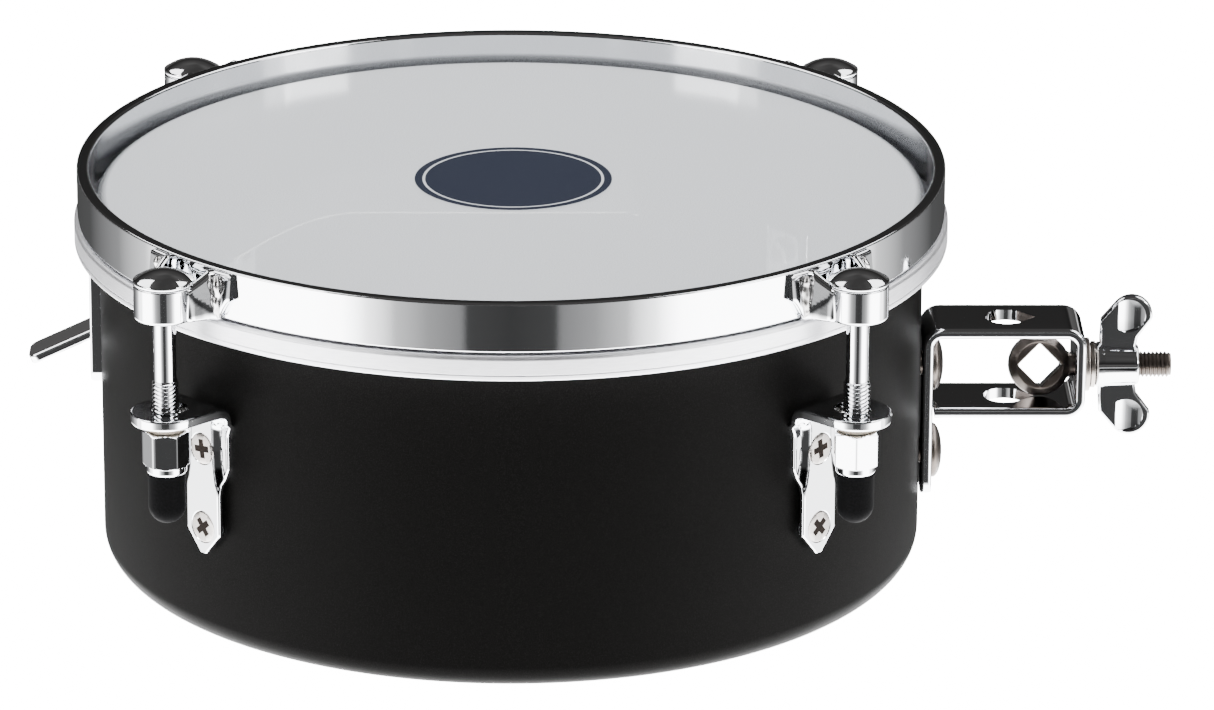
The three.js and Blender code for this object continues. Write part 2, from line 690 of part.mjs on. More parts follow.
add(timbale, 'clamp_bracket', 'chrome', clampBracket());
add(timbale, 'clamp_backing_plate', 'zinc', clampBackingPlate());
for (const [height, z] of Object.entries(CLAMP_BOLT.heights)) {
  add(timbale, `clamp_bolt_${height}`, 'dark_nickel', clampBolt(z));
  add(timbale, `clamp_nut_${height}`, 'zinc', clampNut(z));
}
add(timbale, 'eyebolt', 'dark_nickel', eyebolt());
add(timbale, 'flat_washer', 'dark_nickel', clampWasher(washerStack));
add(timbale, 'spring_washer', 'dark_nickel', springWasher(washerStack + CLAMP_WASHER.thickness + GAP));
add(timbale, 'wing_nut', 'nickel', wingNut());

add(timbale, 'strainer_guard', 'chrome', strainerGuard());
for (const [height, z] of Object.entries(STRAINER_SCREW.heights)) {
  add(timbale, `strainer_screw_${height}`, 'nickel', strainerScrew(z));
}
add(timbale, 'snare_pivot_bracket', 'zinc', pivotBracket());
add(timbale, 'snare_pivot_pin', 'zinc', pivotPin());
add(timbale, 'snare_lever', 'chrome', snareLever());
add(timbale, 'snare_arm', 'zinc', snareArm());
add(timbale, 'snare_holder', 'zinc', snareHolder());
add(timbale, 'snare_wires', 'snare_wire', snareWires());
add(timbale, 'snare_tip', 'snare_wire', snareTip());

export default timbale;
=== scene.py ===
import contextlib
from math import acos, asin, atan2, ceil, cos, degrees, dist, pi, radians, sin, sqrt, tan, tau

import bmesh
import bpy
from mathutils import Matrix, Vector, noise


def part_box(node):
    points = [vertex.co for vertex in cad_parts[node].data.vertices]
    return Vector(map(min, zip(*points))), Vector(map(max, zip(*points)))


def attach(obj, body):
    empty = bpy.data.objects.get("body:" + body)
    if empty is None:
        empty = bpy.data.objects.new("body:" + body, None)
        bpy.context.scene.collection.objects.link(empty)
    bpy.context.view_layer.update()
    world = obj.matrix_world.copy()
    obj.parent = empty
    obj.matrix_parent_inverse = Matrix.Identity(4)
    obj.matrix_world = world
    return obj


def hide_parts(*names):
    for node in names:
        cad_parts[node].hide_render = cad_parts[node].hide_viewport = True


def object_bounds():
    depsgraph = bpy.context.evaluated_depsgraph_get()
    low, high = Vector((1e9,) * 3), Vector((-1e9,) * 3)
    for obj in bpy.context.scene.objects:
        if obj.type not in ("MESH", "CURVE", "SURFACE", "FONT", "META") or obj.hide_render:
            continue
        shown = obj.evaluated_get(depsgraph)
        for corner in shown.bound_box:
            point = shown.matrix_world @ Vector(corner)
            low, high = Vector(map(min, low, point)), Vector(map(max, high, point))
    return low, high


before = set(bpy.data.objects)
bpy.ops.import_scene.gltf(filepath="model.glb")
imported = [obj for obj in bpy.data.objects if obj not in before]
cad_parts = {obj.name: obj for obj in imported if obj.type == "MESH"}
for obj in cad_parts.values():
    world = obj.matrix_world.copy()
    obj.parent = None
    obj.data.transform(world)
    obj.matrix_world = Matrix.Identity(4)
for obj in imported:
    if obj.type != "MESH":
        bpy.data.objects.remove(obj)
cad_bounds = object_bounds()

MM = 0.001
ROUND = 96            # facets round small hardware
WIDE = 256            # facets round the shell, head and hoops


# ---- measures, in millimetres: first those taken from the frame ----
def node_box(name):
    low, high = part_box(name)
    return low / MM, high / MM


def azimuth_of(name):
    low, high = node_box(name)
    return degrees(atan2(low.y + high.y, low.x + high.x))


SHELL_LOW, SHELL_HIGH = node_box("shell")
HOOP_LOW, HOOP_HIGH = node_box("counterhoop")
FLESH_LOW, FLESH_HIGH = node_box("flesh_hoop")
HEAD_LOW, HEAD_HIGH = node_box("head_film")
CLAMP_LOW, CLAMP_HIGH = node_box("clamp_bracket")
WING_LOW, WING_HIGH = node_box("wing_nut")
GUARD_LOW, GUARD_HIGH = node_box("strainer_guard")
PIN_LOW, PIN_HIGH = node_box("snare_pivot_pin")
ROD_LOW, ROD_HIGH = node_box("tension_rod_front_right")
NUT_LOW, NUT_HIGH = node_box("tuning_nut_front_right")
EYE_Z = (WING_LOW.z + WING_HIGH.z) / 2
PIVOT = ((PIN_LOW.x + PIN_HIGH.x) / 2, (PIN_LOW.z + PIN_HIGH.z) / 2)

SHELL_R = 127.0
SHELL_INSIDE = 124.9
ROD_R = 144.7                                       # from the drum's axis to each tension rod
ROD_HEAD_R, ROD_HEAD_LOW = 9.1, 4.2
THREAD_PITCH = 1.25
CUP_R, CUP_TOP, CUP_BOTTOM, CUP_FLOOR = 9.0, 4.0, -6.5, 2.2
SHELF_TOP, SHELF = -35.9, 3.05                      # the lug bracket's shelf and its thickness
FACE, PLATE = 130.6, 1.9                            # the lug plate's outer face and its thickness
LUG_SCREWS = (("upper", -51.8, 8), ("lower", -76.8, 40))     # name, height and turn of the cross
CLAMP_BACK, STRAP = 127.3, 3.3
CLAMP_BOLTS = (("upper", -58.0), ("lower", -87.0))
GUARD_SCREWS = (("upper", -27.0), ("lower", -55.8))
LEVER_SLOT = 7.15                                   # half the width of the slot the lever comes out of
LEVER_HALF = 6.8
SNARE_SLOPE = 30                                    # degrees, of the arm and its plates

# ---- brightness of the studio ----
FLOOR_GLOW = 16.0
FLOOR_SHINE = 13.0
WORLD_GLOW = 0.9


# ---- points ----
def polar(radius, angle):
    """The point of a circle about 0, 0 at an angle in degrees."""
    return radius * cos(radians(angle)), radius * sin(radians(angle))


def arc(cx, cz, radius, start, end, steps):
    """Points on a circle from one angle to another, in degrees."""
    spokes = [polar(radius, start + (end - start) * i / steps) for i in range(steps + 1)]
    return [(cx + x, cz + z) for x, z in spokes]


def around(radius, steps):
    """Evenly spaced points all the way round a circle about 0, 0."""
    return [(radius * cos(tau * i / steps), radius * sin(tau * i / steps)) for i in range(steps)]


def smooth(value, low, high):
    """0 below low, 1 above high, and an S-curve between them."""
    t = min(max((value - low) / (high - low), 0), 1)
    return t * t * (3 - 2 * t)


def table(value, rows):
    """Straight-line lookup in rows of (key, result) with rising keys."""
    for (k0, v0), (k1, v1) in zip(rows, rows[1:]):
        if value <= k1:
            return v0 + (v1 - v0) * max(value - k0, 0) / (k1 - k0)
    return rows[-1][1]


def tangents(line):
    """The unit direction of a polyline at each of its points."""
    last = len(line) - 1
    return [(Vector(line[min(i + 1, last)]) - Vector(line[max(i - 1, 0)])).normalized() for i in range(len(line))]


def resample(line, step):
    """The same polyline with extra points, so that no stretch is longer than step."""
    result = [line[0]]
    for a, b in zip(line, line[1:]):
        count = max(1, ceil(dist(a, b) / step))
        result += [tuple(p + (q - p) * i / count for p, q in zip(a, b)) for i in range(1, count + 1)]
    return result


def sheet_section(line, sheet):
    """The closed outline of a bent sheet, half its thickness to each side of a line."""
    side = []
    for sign in (1, -1):
        points = [(p[0] - sign * t.y * sheet / 2, p[1] + sign * t.x * sheet / 2)
                  for p, t in zip(line, tangents(line))]
        side += points if sign > 0 else points[::-1]
    return side


def slab_section(half, sheet, edge, across, steps=3):
    """A flat sheet's outline with rounded edges and extra points on its broad sides, as (y, u) points."""
    inner, thick = half - edge, sheet / 2
    flat = [inner - 2 * inner * k / across for k in range(1, across)]
    outline = arc(inner, thick - edge, edge, 0, 90, steps) + [(y, thick) for y in flat]
    outline += arc(-inner, thick - edge, edge, 90, 180, steps) + arc(-inner, edge - thick, edge, 180, 270, steps)
    return outline + [(-y, -thick) for y in flat] + arc(inner, edge - thick, edge, 270, 360, steps)


def rounded_rectangle(half_a, half_b, radius, steps=3, centre=(0, 0)):
    """A closed outline with rounded corners."""
    corners = ((1, 1, 0), (-1, 1, 90), (-1, -1, 180), (1, -1, 270))
    return [(centre[0] + a, centre[1] + b) for sa, sb, start in corners
            for a, b in arc(sa * (half_a - radius), sb * (half_b - radius), radius, start, start + 90, steps)]


# ---- solids: verts in millimetres, and faces ----
def turned(points, steps=ROUND, closed=False):
    """A lathe about Z through (radius, z) points; closed joins the last point to the first."""
    verts, rings = [], []
    for radius, z in points:
        count = 1 if radius < 1e-6 else steps
        rings.append([len(verts) + i for i in range(count)])
        verts += [(x, y, z) for x, y in around(radius, steps)[:count]]
    faces = []
    for a, b in zip(rings, rings[1:] + (rings[:1] if closed else [])):
        for i in range(steps):
            j = (i + 1) % steps
            corner = list(dict.fromkeys([a[i % len(a)], a[j % len(a)], b[j % len(b)], b[i % len(b)]]))
            if len(corner) > 2:
                faces.append(corner)
    return verts, faces


def cylinder(radius, low, high, steps=ROUND):
    return turned([(0, low), (radius, low), (radius, high), (0, high)], steps)


def bore(radius, mouth, lip, low, high):
    """A hole about Z that widens at 45 degrees to a short mouth at each end."""
    deep = lip + mouth - radius
    return turned([(0, low - 1), (mouth, low - 1), (mouth, low + lip), (radius, low + deep), (radius, high - deep),
                   (mouth, high - lip), (mouth, high + 1), (0, high + 1)])


def prism(points, low, high, axis="z"):
    """An outline run from low to high along an axis: (x, y) for z, (x, z) for y, (y, z) for x."""
    place = {"z": lambda a, b, h: (a, b, h), "y": lambda a, b, h: (a, h, b), "x": lambda a, b, h: (h, a, b)}[axis]
    count = len(points)
    verts = [place(a, b, h) for h in (low, high) for a, b in points]
    faces = [list(range(count)), list(range(count, 2 * count))]
    faces += [[i, (i + 1) % count, (i + 1) % count + count, i + count] for i in range(count)]
    return verts, faces


def lofted(rings):
    """Closed rings of equal length joined in order, with a face on each end."""
    count = len(rings[0])
    verts = [p for ring in rings for p in ring]
    faces = [list(range(count)), list(range(len(verts) - count, len(verts)))]
    for r in range(len(rings) - 1):
        for i in range(count):
            j = (i + 1) % count
            faces.append([r * count + i, r * count + j, (r + 1) * count + j, (r + 1) * count + i])
    return verts, faces


def strap(line, sheet, half_width, edge):
    """A flat strap along an (x, z) line, with rounded edges. half_width takes the index of a point."""
    rings = []
    for i, ((x, z), along) in enumerate(zip(line, tangents(line))):
        half = half_width(i)
        section = slab_section(half, sheet, min(edge, sheet / 2 - 0.01, half - 0.01), 4, 6)
        rings.append([(x - along.y * u, y, z + along.x * u) for y, u in section])
    return lofted(rings)


def thread(major, minor, low, high):
    """A helical screw thread about Z that fades out at both ends."""
    columns, per_turn = 32, 8
    crest = (0, 0.3, 0.75, 1, 1, 0.75, 0.3, 0)
    rows = (ceil((high - low) / THREAD_PITCH) + 2) * per_turn
    verts, faces = [], []
    for i in range(rows):
        for j in range(columns):
            z = min(max(low + THREAD_PITCH * (i / per_turn + j / columns - 1), low), high)
            fade = smooth(z, low, low + THREAD_PITCH) * smooth(high - z, 0, THREAD_PITCH)
            radius = minor + (major - minor) * crest[i % per_turn] * fade
            angle = tau * j / columns
            verts.append((radius * cos(angle), radius * sin(angle), z))
    for i in range(rows - 1):
        for j in range(columns):
            step = 0 if j + 1 < columns else per_turn
            if i + 1 + step < rows:
                nxt = (j + 1) % columns
                faces.append([i * columns + j, (i + step) * columns + nxt,
                              (i + 1 + step) * columns + nxt, (i + 1) * columns + j])
    return verts, faces


def hex_solid(across_flats, low, high, chamfer):
    """A hexagonal nut body about Z with chamfered ends and softened corners."""
    columns, rows, softened = 96, 10, 0.984
    corner_r = across_flats / sqrt(3) * softened
    heights = [low + chamfer * 1.9 * i / rows for i in range(rows + 1)]
    heights += [high - chamfer * 1.9 * (1 - i / rows) for i in range(rows + 1)]
    rings = []
    for z in heights:
        inset = min(z - low, high - z)
        cone = across_flats / 2 - 0.15 + (inset + 0.02) / tan(radians(30))
        ring = []
        for i in range(columns):
            angle = tau * i / columns
            off = (angle + pi / 6) % (pi / 3) - pi / 6
            flat = across_flats / 2 / cos(pi / 6 - abs(off))
            radius = min(flat, corner_r, cone)
            ring.append((radius * cos(angle), radius * sin(angle), z))
        rings.append(ring)
    return lofted(rings)


def shift(x=0.0, y=0.0, z=0.0):
    return Matrix.Translation((x, y, z))


def spin(angle, axis):
    return Matrix.Rotation(radians(angle), 4, axis)


def moved(solid, matrix):
    verts, faces = solid
    return [tuple(matrix @ Vector(v)) for v in verts], faces


def along_x(solid, z=0.0):
    """Turns something drawn about Z so that it lies about X, at height z."""
    return moved(solid, shift(z=z) @ spin(90, "Y"))


def on_rod(solid):
    """Moves something drawn about Z to the tension rod at azimuth 0."""
    return moved(solid, shift(ROD_R))


# ---- objects ----
@contextlib.contextmanager
def edited(mesh):
    """Opens a mesh for editing and writes it back."""
    bm = bmesh.new()
    bm.from_mesh(mesh)
    yield bm
    bm.to_mesh(mesh)
    bm.free()


def placed(name, data):
    """A new object in the scene."""
    obj = bpy.data.objects.new(name, data)
    bpy.context.scene.collection.objects.link(obj)
    return obj


def raw(solid, name="part"):
    """An object from verts in millimetres, welded, closed and facing out."""
    verts, faces = solid
    mesh = bpy.data.meshes.new(name)
    mesh.from_pydata([tuple(c * MM for c in v) for v in verts], [], faces)
    with edited(mesh) as bm:
        bmesh.ops.remove_doubles(bm, verts=bm.verts, dist=2e-7)
        bmesh.ops.dissolve_degenerate(bm, edges=bm.edges, dist=1e-8)
        loose = [e for e in bm.edges if len(e.link_faces) == 1]
        if loose:
            bmesh.ops.holes_fill(bm, edges=loose, sides=0)
        bmesh.ops.recalc_face_normals(bm, faces=bm.faces)
    return placed(name, mesh)


def bake(obj):
    """Replaces an object's mesh by the result of its modifiers."""
    bpy.context.view_layer.update()
    graph = bpy.context.evaluated_depsgraph_get()
    mesh = bpy.data.meshes.new_from_object(obj.evaluated_get(graph))
    obj.modifiers.clear()
    obj.data = mesh
    return obj


def boolean(obj, solids, how="DIFFERENCE"):
    """Cuts, joins or intersects obj with each solid in turn."""
    for solid in solids:
        tool = raw(solid, "tool")
        change = obj.modifiers.new("change", "BOOLEAN")
        change.object, change.operation, change.solver = tool, how, "EXACT"
        bake(obj)
        bpy.data.objects.remove(tool)
    return obj


def taken(obj):
    """The solid of an object; the object goes."""
    solid = [tuple(c / MM for c in v.co) for v in obj.data.vertices], [list(p.vertices) for p in obj.data.polygons]
    bpy.data.objects.remove(obj)
    return solid


def bevelled(obj, width, segments=3):
    """Rounds every sharp edge."""
    sharp_angle = radians(38)
    with edited(obj.data) as bm:
        bmesh.ops.dissolve_limit(bm, angle_limit=radians(0.5), verts=bm.verts, edges=bm.edges)
        sharp = [e for e in bm.edges if len(e.link_faces) == 2 and e.calc_face_angle(0) > sharp_angle]
        bmesh.ops.bevel(bm, geom=sharp, offset=width * MM, segments=segments, profile=0.5, affect="EDGES",
                        clamp_overlap=True)
    return obj


def refined(node, width):
    """A copy of a CAD node with its edges rounded."""
    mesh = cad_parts[node].data.copy()
    mesh.materials.clear()
    with edited(mesh) as bm:
        bmesh.ops.remove_doubles(bm, verts=bm.verts, dist=1e-6)
    return bevelled(placed(node, mesh), width, 2)


def finish(obj, node, look, body="drum", replace=True, sharp=32, turn=0.0):
    """Names a piece after a node, shades and paints it, and hands it to the frame."""
    slot, material = look
    name = f"{node}_look"
    obj.name = obj.data.name = name
    if turn:
        obj.data.transform(spin(turn, "Z"))
    obj.data.materials.clear()
    obj.data.materials.append(material)
    obj.data.shade_smooth()
    obj.data.set_sharp_from_angle(angle=radians(sharp))
    obj.modifiers.new("flats", "WEIGHTED_NORMAL").keep_sharp = True
    bake(obj).data.name = name
    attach(obj, body)
    if replace:
        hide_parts(node)


def at_lugs(template, kind, look, body="drum", replace=True):
    """Puts a copy of a piece drawn at azimuth 0 on each of the four lugs. A tuning nut is its own body, and keeps a
    flat to the front, but for the front right one, which shows an edge."""
    for place in ("front_right", "front_left", "rear_right", "rear_left"):
        name = f"{kind}_{place}"
        turn = azimuth_of(f"tension_rod_{place}")
        piece = placed("copy", template.data.copy())
        if body == "own":
            edge_on = 30 if place == "front_right" else 0
            piece.data.transform(shift(ROD_R * MM) @ spin(edge_on - turn, "Z") @ shift(-ROD_R * MM))
        finish(piece, name, look, name if body == "own" else body, replace, turn=turn)
    bpy.data.objects.remove(template)


# ---- materials ----
class Nodes:
    """Short calls for building a node tree round one Principled shader."""

    def __init__(self, name):
        self.material = bpy.data.materials.new(name)
        self.material.use_nodes = True
        self.tree = self.material.node_tree
        self.shader = self.tree.nodes["Principled BSDF"]
        self.place = self.add("ShaderNodeTexCoord").outputs["Object"]

    def fill(self, socket, value):
        """Links a socket to another, or gives it a value."""
        if isinstance(value, bpy.types.NodeSocket):
            self.tree.links.new(value, socket)
        else:
            socket.default_value = value

    def add(self, kind, values=None, **settings):
        node = self.tree.nodes.new(kind)
        for key, value in settings.items():
            setattr(node, key, value)
        for key, value in (values or {}).items():
            self.fill(node.inputs[key], value)
        return node

    def set(self, **values):
        names = {"color": "Base Color", "specular": "Specular IOR Level", "emission": "Emission Color",
                 "glow": "Emission Strength"}
        for key, value in values.items():
            self.fill(self.shader.inputs[names.get(key, key.capitalize())], value)

    def emitting(self, strength, color=(1, 1, 1)):
        """The finished material, as a plain light source."""
        self.tree.nodes.remove(self.shader)
        light = self.add("ShaderNodeEmission", {0: (*color, 1), 1: strength})
        self.tree.links.new(light.outputs[0], self.tree.nodes["Material Output"].inputs[0])
        return self.material

    def math(self, operation, a, b=0.0, clamp=False):
        return self.add("ShaderNodeMath", {0: a, 1: b}, operation=operation, use_clamp=clamp).outputs[0]

    def times(self, a, b):
        return self.math("MULTIPLY", a, b)

    def reach(self, a, b):
        """The length of (a, b)."""
        return self.math("SQRT", self.math("ADD", self.times(a, a), self.times(b, b)))

    def split(self):
        """The x, y and z of the place."""
        return self.add("ShaderNodeSeparateXYZ", {0: self.place}).outputs

    def noise(self, scale, detail=3.0, vector=None, distortion=0.0):
        return self.add("ShaderNodeTexNoise", {"Vector": vector or self.place, "Scale": scale, "Detail": detail,
                                               "Distortion": distortion}).outputs[0]

    def range(self, value, from_low, from_high, low=0, high=1):
        return self.add("ShaderNodeMapRange", {0: value, 1: from_low, 2: from_high, 3: low, 4: high}).outputs[0]

    def mix(self, factor, a, b):
        a, b = (c if isinstance(c, bpy.types.NodeSocket) else (*c, 1) for c in (a, b))
        return self.add("ShaderNodeMix", {0: factor, 6: a, 7: b}, data_type="RGBA").outputs[2]

    def bump(self, height, strength, distance):
        return self.add("ShaderNodeBump", {"Height": height, "Strength": strength, "Distance": distance}).outputs[0]


def plated(name, light, dark, low, high, grain=900.0, bump=0.05, smudge=14.0):
    """Plated steel: a clear mirror or satin with faint smudges, fine hairlines and a trace of grain."""
    n = Nodes(name)
    smudges = n.noise(smudge, 4, distortion=0.6)
    stretched = n.add("ShaderNodeMapping", {"Vector": n.place, "Scale": (1, 1, 22)}).outputs[0]
    hairs = n.noise(60, 5, stretched)
    pits = n.noise(grain, 2)
    mixed = n.math("ADD", n.times(smudges, 0.65), n.times(hairs, 0.35))
    n.set(color=n.mix(n.range(smudges, 0.35, 0.7), light, dark), metallic=1.0,
          roughness=n.range(mixed, 0.35, 0.68, low, high), normal=n.bump(pits, bump, 0.00005))
    return n.material


def make_shell_paint():
    """Satin black powder coat: orange peel over a fine fleck."""
    n = Nodes("shell_black_powder_coat")
    peel = n.noise(1100, 2)
    broad = n.noise(30, 4)
    fleck = n.noise(3800, 1)
    n.set(color=n.mix(n.range(fleck, 0.45, 0.72), (0.0063, 0.0061, 0.0059), (0.0138, 0.0133, 0.0128)),
          roughness=n.range(broad, 0.3, 0.7, 0.42, 0.49), specular=0.018,
          normal=n.bump(n.math("ADD", peel, n.times(fleck, 0.4)), 0.22, 0.00008))
    return n.material


def make_head_coat():
    """Sprayed coating on clear film, with painted shade where it bends over the rim under the hoops, and a plain
    printed disc inside a thin ring."""
    n = Nodes("head_coated_film")
    x, y, _ = n.split()
    off_centre = n.reach(n.math("SUBTRACT", x, 0.0006), n.math("SUBTRACT", y, 0.0068))
    grain = n.noise(2600, 2)
    cloud = n.noise(22, 3)
    sprayed = n.mix(n.range(grain, 0.35, 0.65), (0.64, 0.66, 0.69), (0.74, 0.76, 0.79))
    # painted shade: the film darkens from 124.2 to 126.2 mm out, where it bends over the rim into the shadow under
    # the hoops
    sprayed = n.mix(n.range(n.reach(x, y), 0.1242, 0.1262), sprayed, (0.19, 0.195, 0.205))
    disc = n.range(off_centre, 0.0304, 0.0306, 1, 0)
    ring = n.times(n.range(off_centre, 0.0272, 0.0273), n.range(off_centre, 0.0280, 0.0281, 1, 0))
    ink = n.math("SUBTRACT", disc, ring, clamp=True)
    n.set(color=n.mix(ink, sprayed, (0.020, 0.024, 0.037)), roughness=n.range(cloud, 0.3, 0.7, 0.17, 0.21),
          specular=0.5, alpha=n.math("MAXIMUM", n.range(grain, 0.3, 0.7, 0.62, 0.74), ink),
          normal=n.bump(grain, 0.25, 0.00004))
    return n.material


def make_ring_brushed():
    """Rolled aluminium, brushed round the ring."""
    n = Nodes("aluminium_ring_brushed")
    x, y, z = n.split()
    round_it = n.times(n.math("ARCTAN2", y, x), 0.012)
    brush = n.noise(2600, 4, n.add("ShaderNodeCombineXYZ", {0: round_it, 1: n.reach(x, y), 2: z}).outputs[0])
    cloud = n.noise(20, 3)
    n.set(color=n.mix(n.range(brush, 0.3, 0.7), (0.80, 0.80, 0.83), (0.92, 0.92, 0.95)), metallic=1.0,
          roughness=n.range(cloud, 0.3, 0.7, 0.40, 0.48), normal=n.bump(brush, 0.16, 0.00005))
    return n.material


def dull(name, scale, dark, light, roughness, specular, bump, distance):
    """A matt material with one grain in its colour and its surface."""
    n = Nodes(name)
    grain = n.noise(scale, 3)
    n.set(color=n.mix(grain, dark, light), roughness=roughness, specular=specular,
          normal=n.bump(grain, bump, distance))
    return n.material


def make_rubber():
    n = Nodes("rubber_matt_black")
    grain = n.noise(1400, 4)
    n.set(color=n.mix(n.range(grain, 0.3, 0.7), (0.006, 0.006, 0.0065), (0.012, 0.012, 0.0125)),
          roughness=n.range(grain, 0.3, 0.7, 0.60, 0.75), specular=0.02, normal=n.bump(grain, 0.2, 0.00008))
    return n.material


# each look is the record's slot and a material
CHROME = "chrome", plated("chrome_plate", (0.83, 0.84, 0.86), (0.78, 0.79, 0.81), 0.035, 0.075)
# rough weld steel, its colour also darkened as painted shade for the dark recess behind each cup, between the legs
WELD_AND_SHADE = "chrome", plated("chromed_weld_and_painted_shade", (0.66, 0.65, 0.64), (0.34, 0.33, 0.32), 0.20, 0.36, 800, 0.35, 90)
NICKEL = "nickel", plated("nickel_plate", (0.86, 0.84, 0.80), (0.77, 0.74, 0.70), 0.20, 0.32, bump=0.12)
SCREW_NICKEL = "nickel", plated("screw_nickel_plate", (0.42, 0.392, 0.37), (0.33, 0.306, 0.288), 0.20, 0.32,
                                bump=0.12)
NYLON = "nickel", dull("nylon_washer", 500, (0.42, 0.36, 0.28), (0.5, 0.43, 0.34), 0.5, 0.5, 0.15, 0.0001)
# painted shade: a dark matt insert that fills each screw's cross and stands in for the shadow in the recess
RECESS_SHADE = "nickel", dull("recess_painted_shade", 900, (0.010, 0.007, 0.006), (0.035, 0.024, 0.018), 0.6, 0.06, 0.2, 0.00006)
DARK_NICKEL = "dark_nickel", plated("dark_nickel_plate", (0.46, 0.42, 0.385), (0.30, 0.27, 0.245), 0.24, 0.38,
                                    700, 0.25, 60)
BRONZED = "dark_nickel", plated("bronzed_nickel_plate", (0.13, 0.112, 0.10), (0.06, 0.05, 0.044), 0.34, 0.48,
                                700, 0.3, 60)
ZINC = "zinc", plated("zinc_plate", (0.60, 0.62, 0.64), (0.48, 0.50, 0.53), 0.28, 0.44, 600, 0.2, 60)
WIRE = "snare_wire", plated("snare_wire_steel", (0.80, 0.79, 0.76), (0.66, 0.65, 0.63), 0.22, 0.36)
SHELL_PAINT = "shell_black", make_shell_paint()
HEAD_COAT = "head_white", make_head_coat()
RING_BRUSHED = "aluminium", make_ring_brushed()
RUBBER = "rubber", make_rubber()


# ---- shell, head and hoops ----
def build_shell():
    sheet, roll, flange, lip = 1.2, 7.4, 8.6, 2.7
    middle = SHELL_R - sheet / 2
    roll_x, top_x, top_z = SHELL_R - roll, SHELL_R - lip, SHELL_HIGH.z - lip
    line = [(roll_x - flange, SHELL_LOW.z + sheet / 2), (roll_x - 2, SHELL_LOW.z + sheet / 2)]
    line += arc(roll_x, SHELL_LOW.z + roll, roll - sheet / 2, -90, 0, 12)
    line += arc(top_x, top_z, middle - top_x, 0, 90, 6)
    line += [(top_x - 5.6, top_z + (middle - top_x) - 4.5)]
    shell = raw(turned(sheet_section(line, sheet), WIDE, closed=True))
    slot = prism([(-LEVER_SLOT, -49.5), (LEVER_SLOT, -49.5), (LEVER_SLOT, -39.6), (-LEVER_SLOT, -39.6)],
                 -140, -110, "x")
    finish(boolean(shell, [slot]), "shell", SHELL_PAINT)


def build_head():
    sheet, roll = -HEAD_HIGH.z + 0.5, 3.5
    outer = HEAD_HIGH.x
    centre = outer - roll
    profile = [(0, -sheet), (40, -sheet), (90, -sheet)]
    profile += arc(centre, -roll, roll - sheet, 90, 0, 8) + [(outer - sheet, HEAD_LOW.z), (outer, HEAD_LOW.z)]
    profile += arc(centre, -roll, roll, 0, 90, 8) + [(90, 0), (40, 0), (0, 0)]
    finish(raw(turned(profile, WIDE)), "head_film", HEAD_COAT)


def build_hoops():
    inner, outer, low, high = 128.2, FLESH_HIGH.x, FLESH_LOW.z, FLESH_HIGH.z
    groove = low + 1.7
    section = arc(outer - 0.5, low + 0.5, 0.5, -90, 0, 3)
    section += [(outer, groove - 0.25), (outer - 0.18, groove), (outer, groove + 0.25)]
    section += arc(outer - 1.4, high - 1.4, 1.4, 0, 90, 6)
    section += arc(inner + 0.4, high - 0.4, 0.4, 90, 180, 2) + arc(inner + 0.4, low + 0.4, 0.4, 180, 270, 2)
    finish(raw(turned(section, WIDE, closed=True)), "flesh_hoop", RING_BRUSHED, "hoop")
    inner, outer, low, high = 129.7, HOOP_HIGH.x, HOOP_LOW.z, HOOP_HIGH.z
    section = arc(outer - 0.7, low + 0.7, 0.7, -90, 0, 4) + arc(outer - 0.6, high - 0.6, 0.6, 0, 90, 6)
    section += arc(inner + 0.9, high - 0.9, 0.9, 90, 180, 6) + arc(inner + 0.7, low + 0.7, 0.7, 180, 270, 4)
    finish(raw(turned(section, WIDE, closed=True)), "counterhoop", CHROME, "hoop")


# ---- tension lugs, drawn at azimuth 0 ----
def leaning_ring(point, along, sign, sheet, low, high, edge, crease, above, below):
    """One ring of an upright strap whose faces lean back above and below a crease."""
    middle = (high + low) / 2
    ring = []
    for v, u in slab_section((high - low) / 2, sheet, edge, 9)[::-1]:
        over = v - (crease - middle)
        u -= over * (above if over > 0 else below)
        ring.append((point[0] + along.y * u, sign * (point[1] - along.x * u), middle + v))
    return ring


def ear_leg(sign):
    """The strap from the cup to the hoop: its top edge climbs to the lip, and a crease runs down to the weld."""
    line = resample([(ROD_R + 1.5, 7.75), (143.0, 7.85), (141.2, 8.5), (138.6, 9.9), (136.2, 11.1),
                     (133.2, 12.0)], 0.6)
    rings = []
    for point, along in zip(line, tangents(line)):
        away = ROD_R - point[0]
        high = table(away, [(2.2, CUP_TOP - 0.25), (3.6, 4.9), (8.6, 8.0), (9.6, 8.0)])
        low = table(away, [(5.0, CUP_BOTTOM), (8.0, CUP_BOTTOM + 0.1), (10.5, -7.0)])
        crease = table(away, [(0.0, 2.0), (2.5, 1.2), (9.0, -4.6)])
        lean = smooth(away, 0.6, 3.0)
        rings.append(leaning_ring(point, along, sign, 2.3, low, high, 1.1, crease, 0.17 * lean, 0.09 * lean))
    return lofted(rings)


def on_circle(radius, widths):
    """Points of a circle about the drum's axis, at these distances to the side."""
    return [(sqrt(radius ** 2 - y * y), y) for y in widths]


def ear_foot(sign):
    """The pad at the leg's end, which lies on the hoop and narrows downwards."""
    line = resample(on_circle(HOOP_HIGH.x + 1.3, (10.6, 12.0, 13.4, 14.8, 16.2, 17.3)), 0.4)
    rings = []
    for point, along in zip(line, tangents(line)):
        y = point[1]
        high = 8.0 - 0.5 * smooth(y, 16.3, 17.3)
        low = -6.6 + 6.6 * smooth(y, 11.5, 17.6)
        edge = 0.9 if y < 16.4 else max(0.9 - (y - 16.4) * 0.6, 0.3)
        rings.append(leaning_ring(point, along, sign, 2.1, low, high, edge, 0, 0.11, 0.03))
    return lofted(rings)


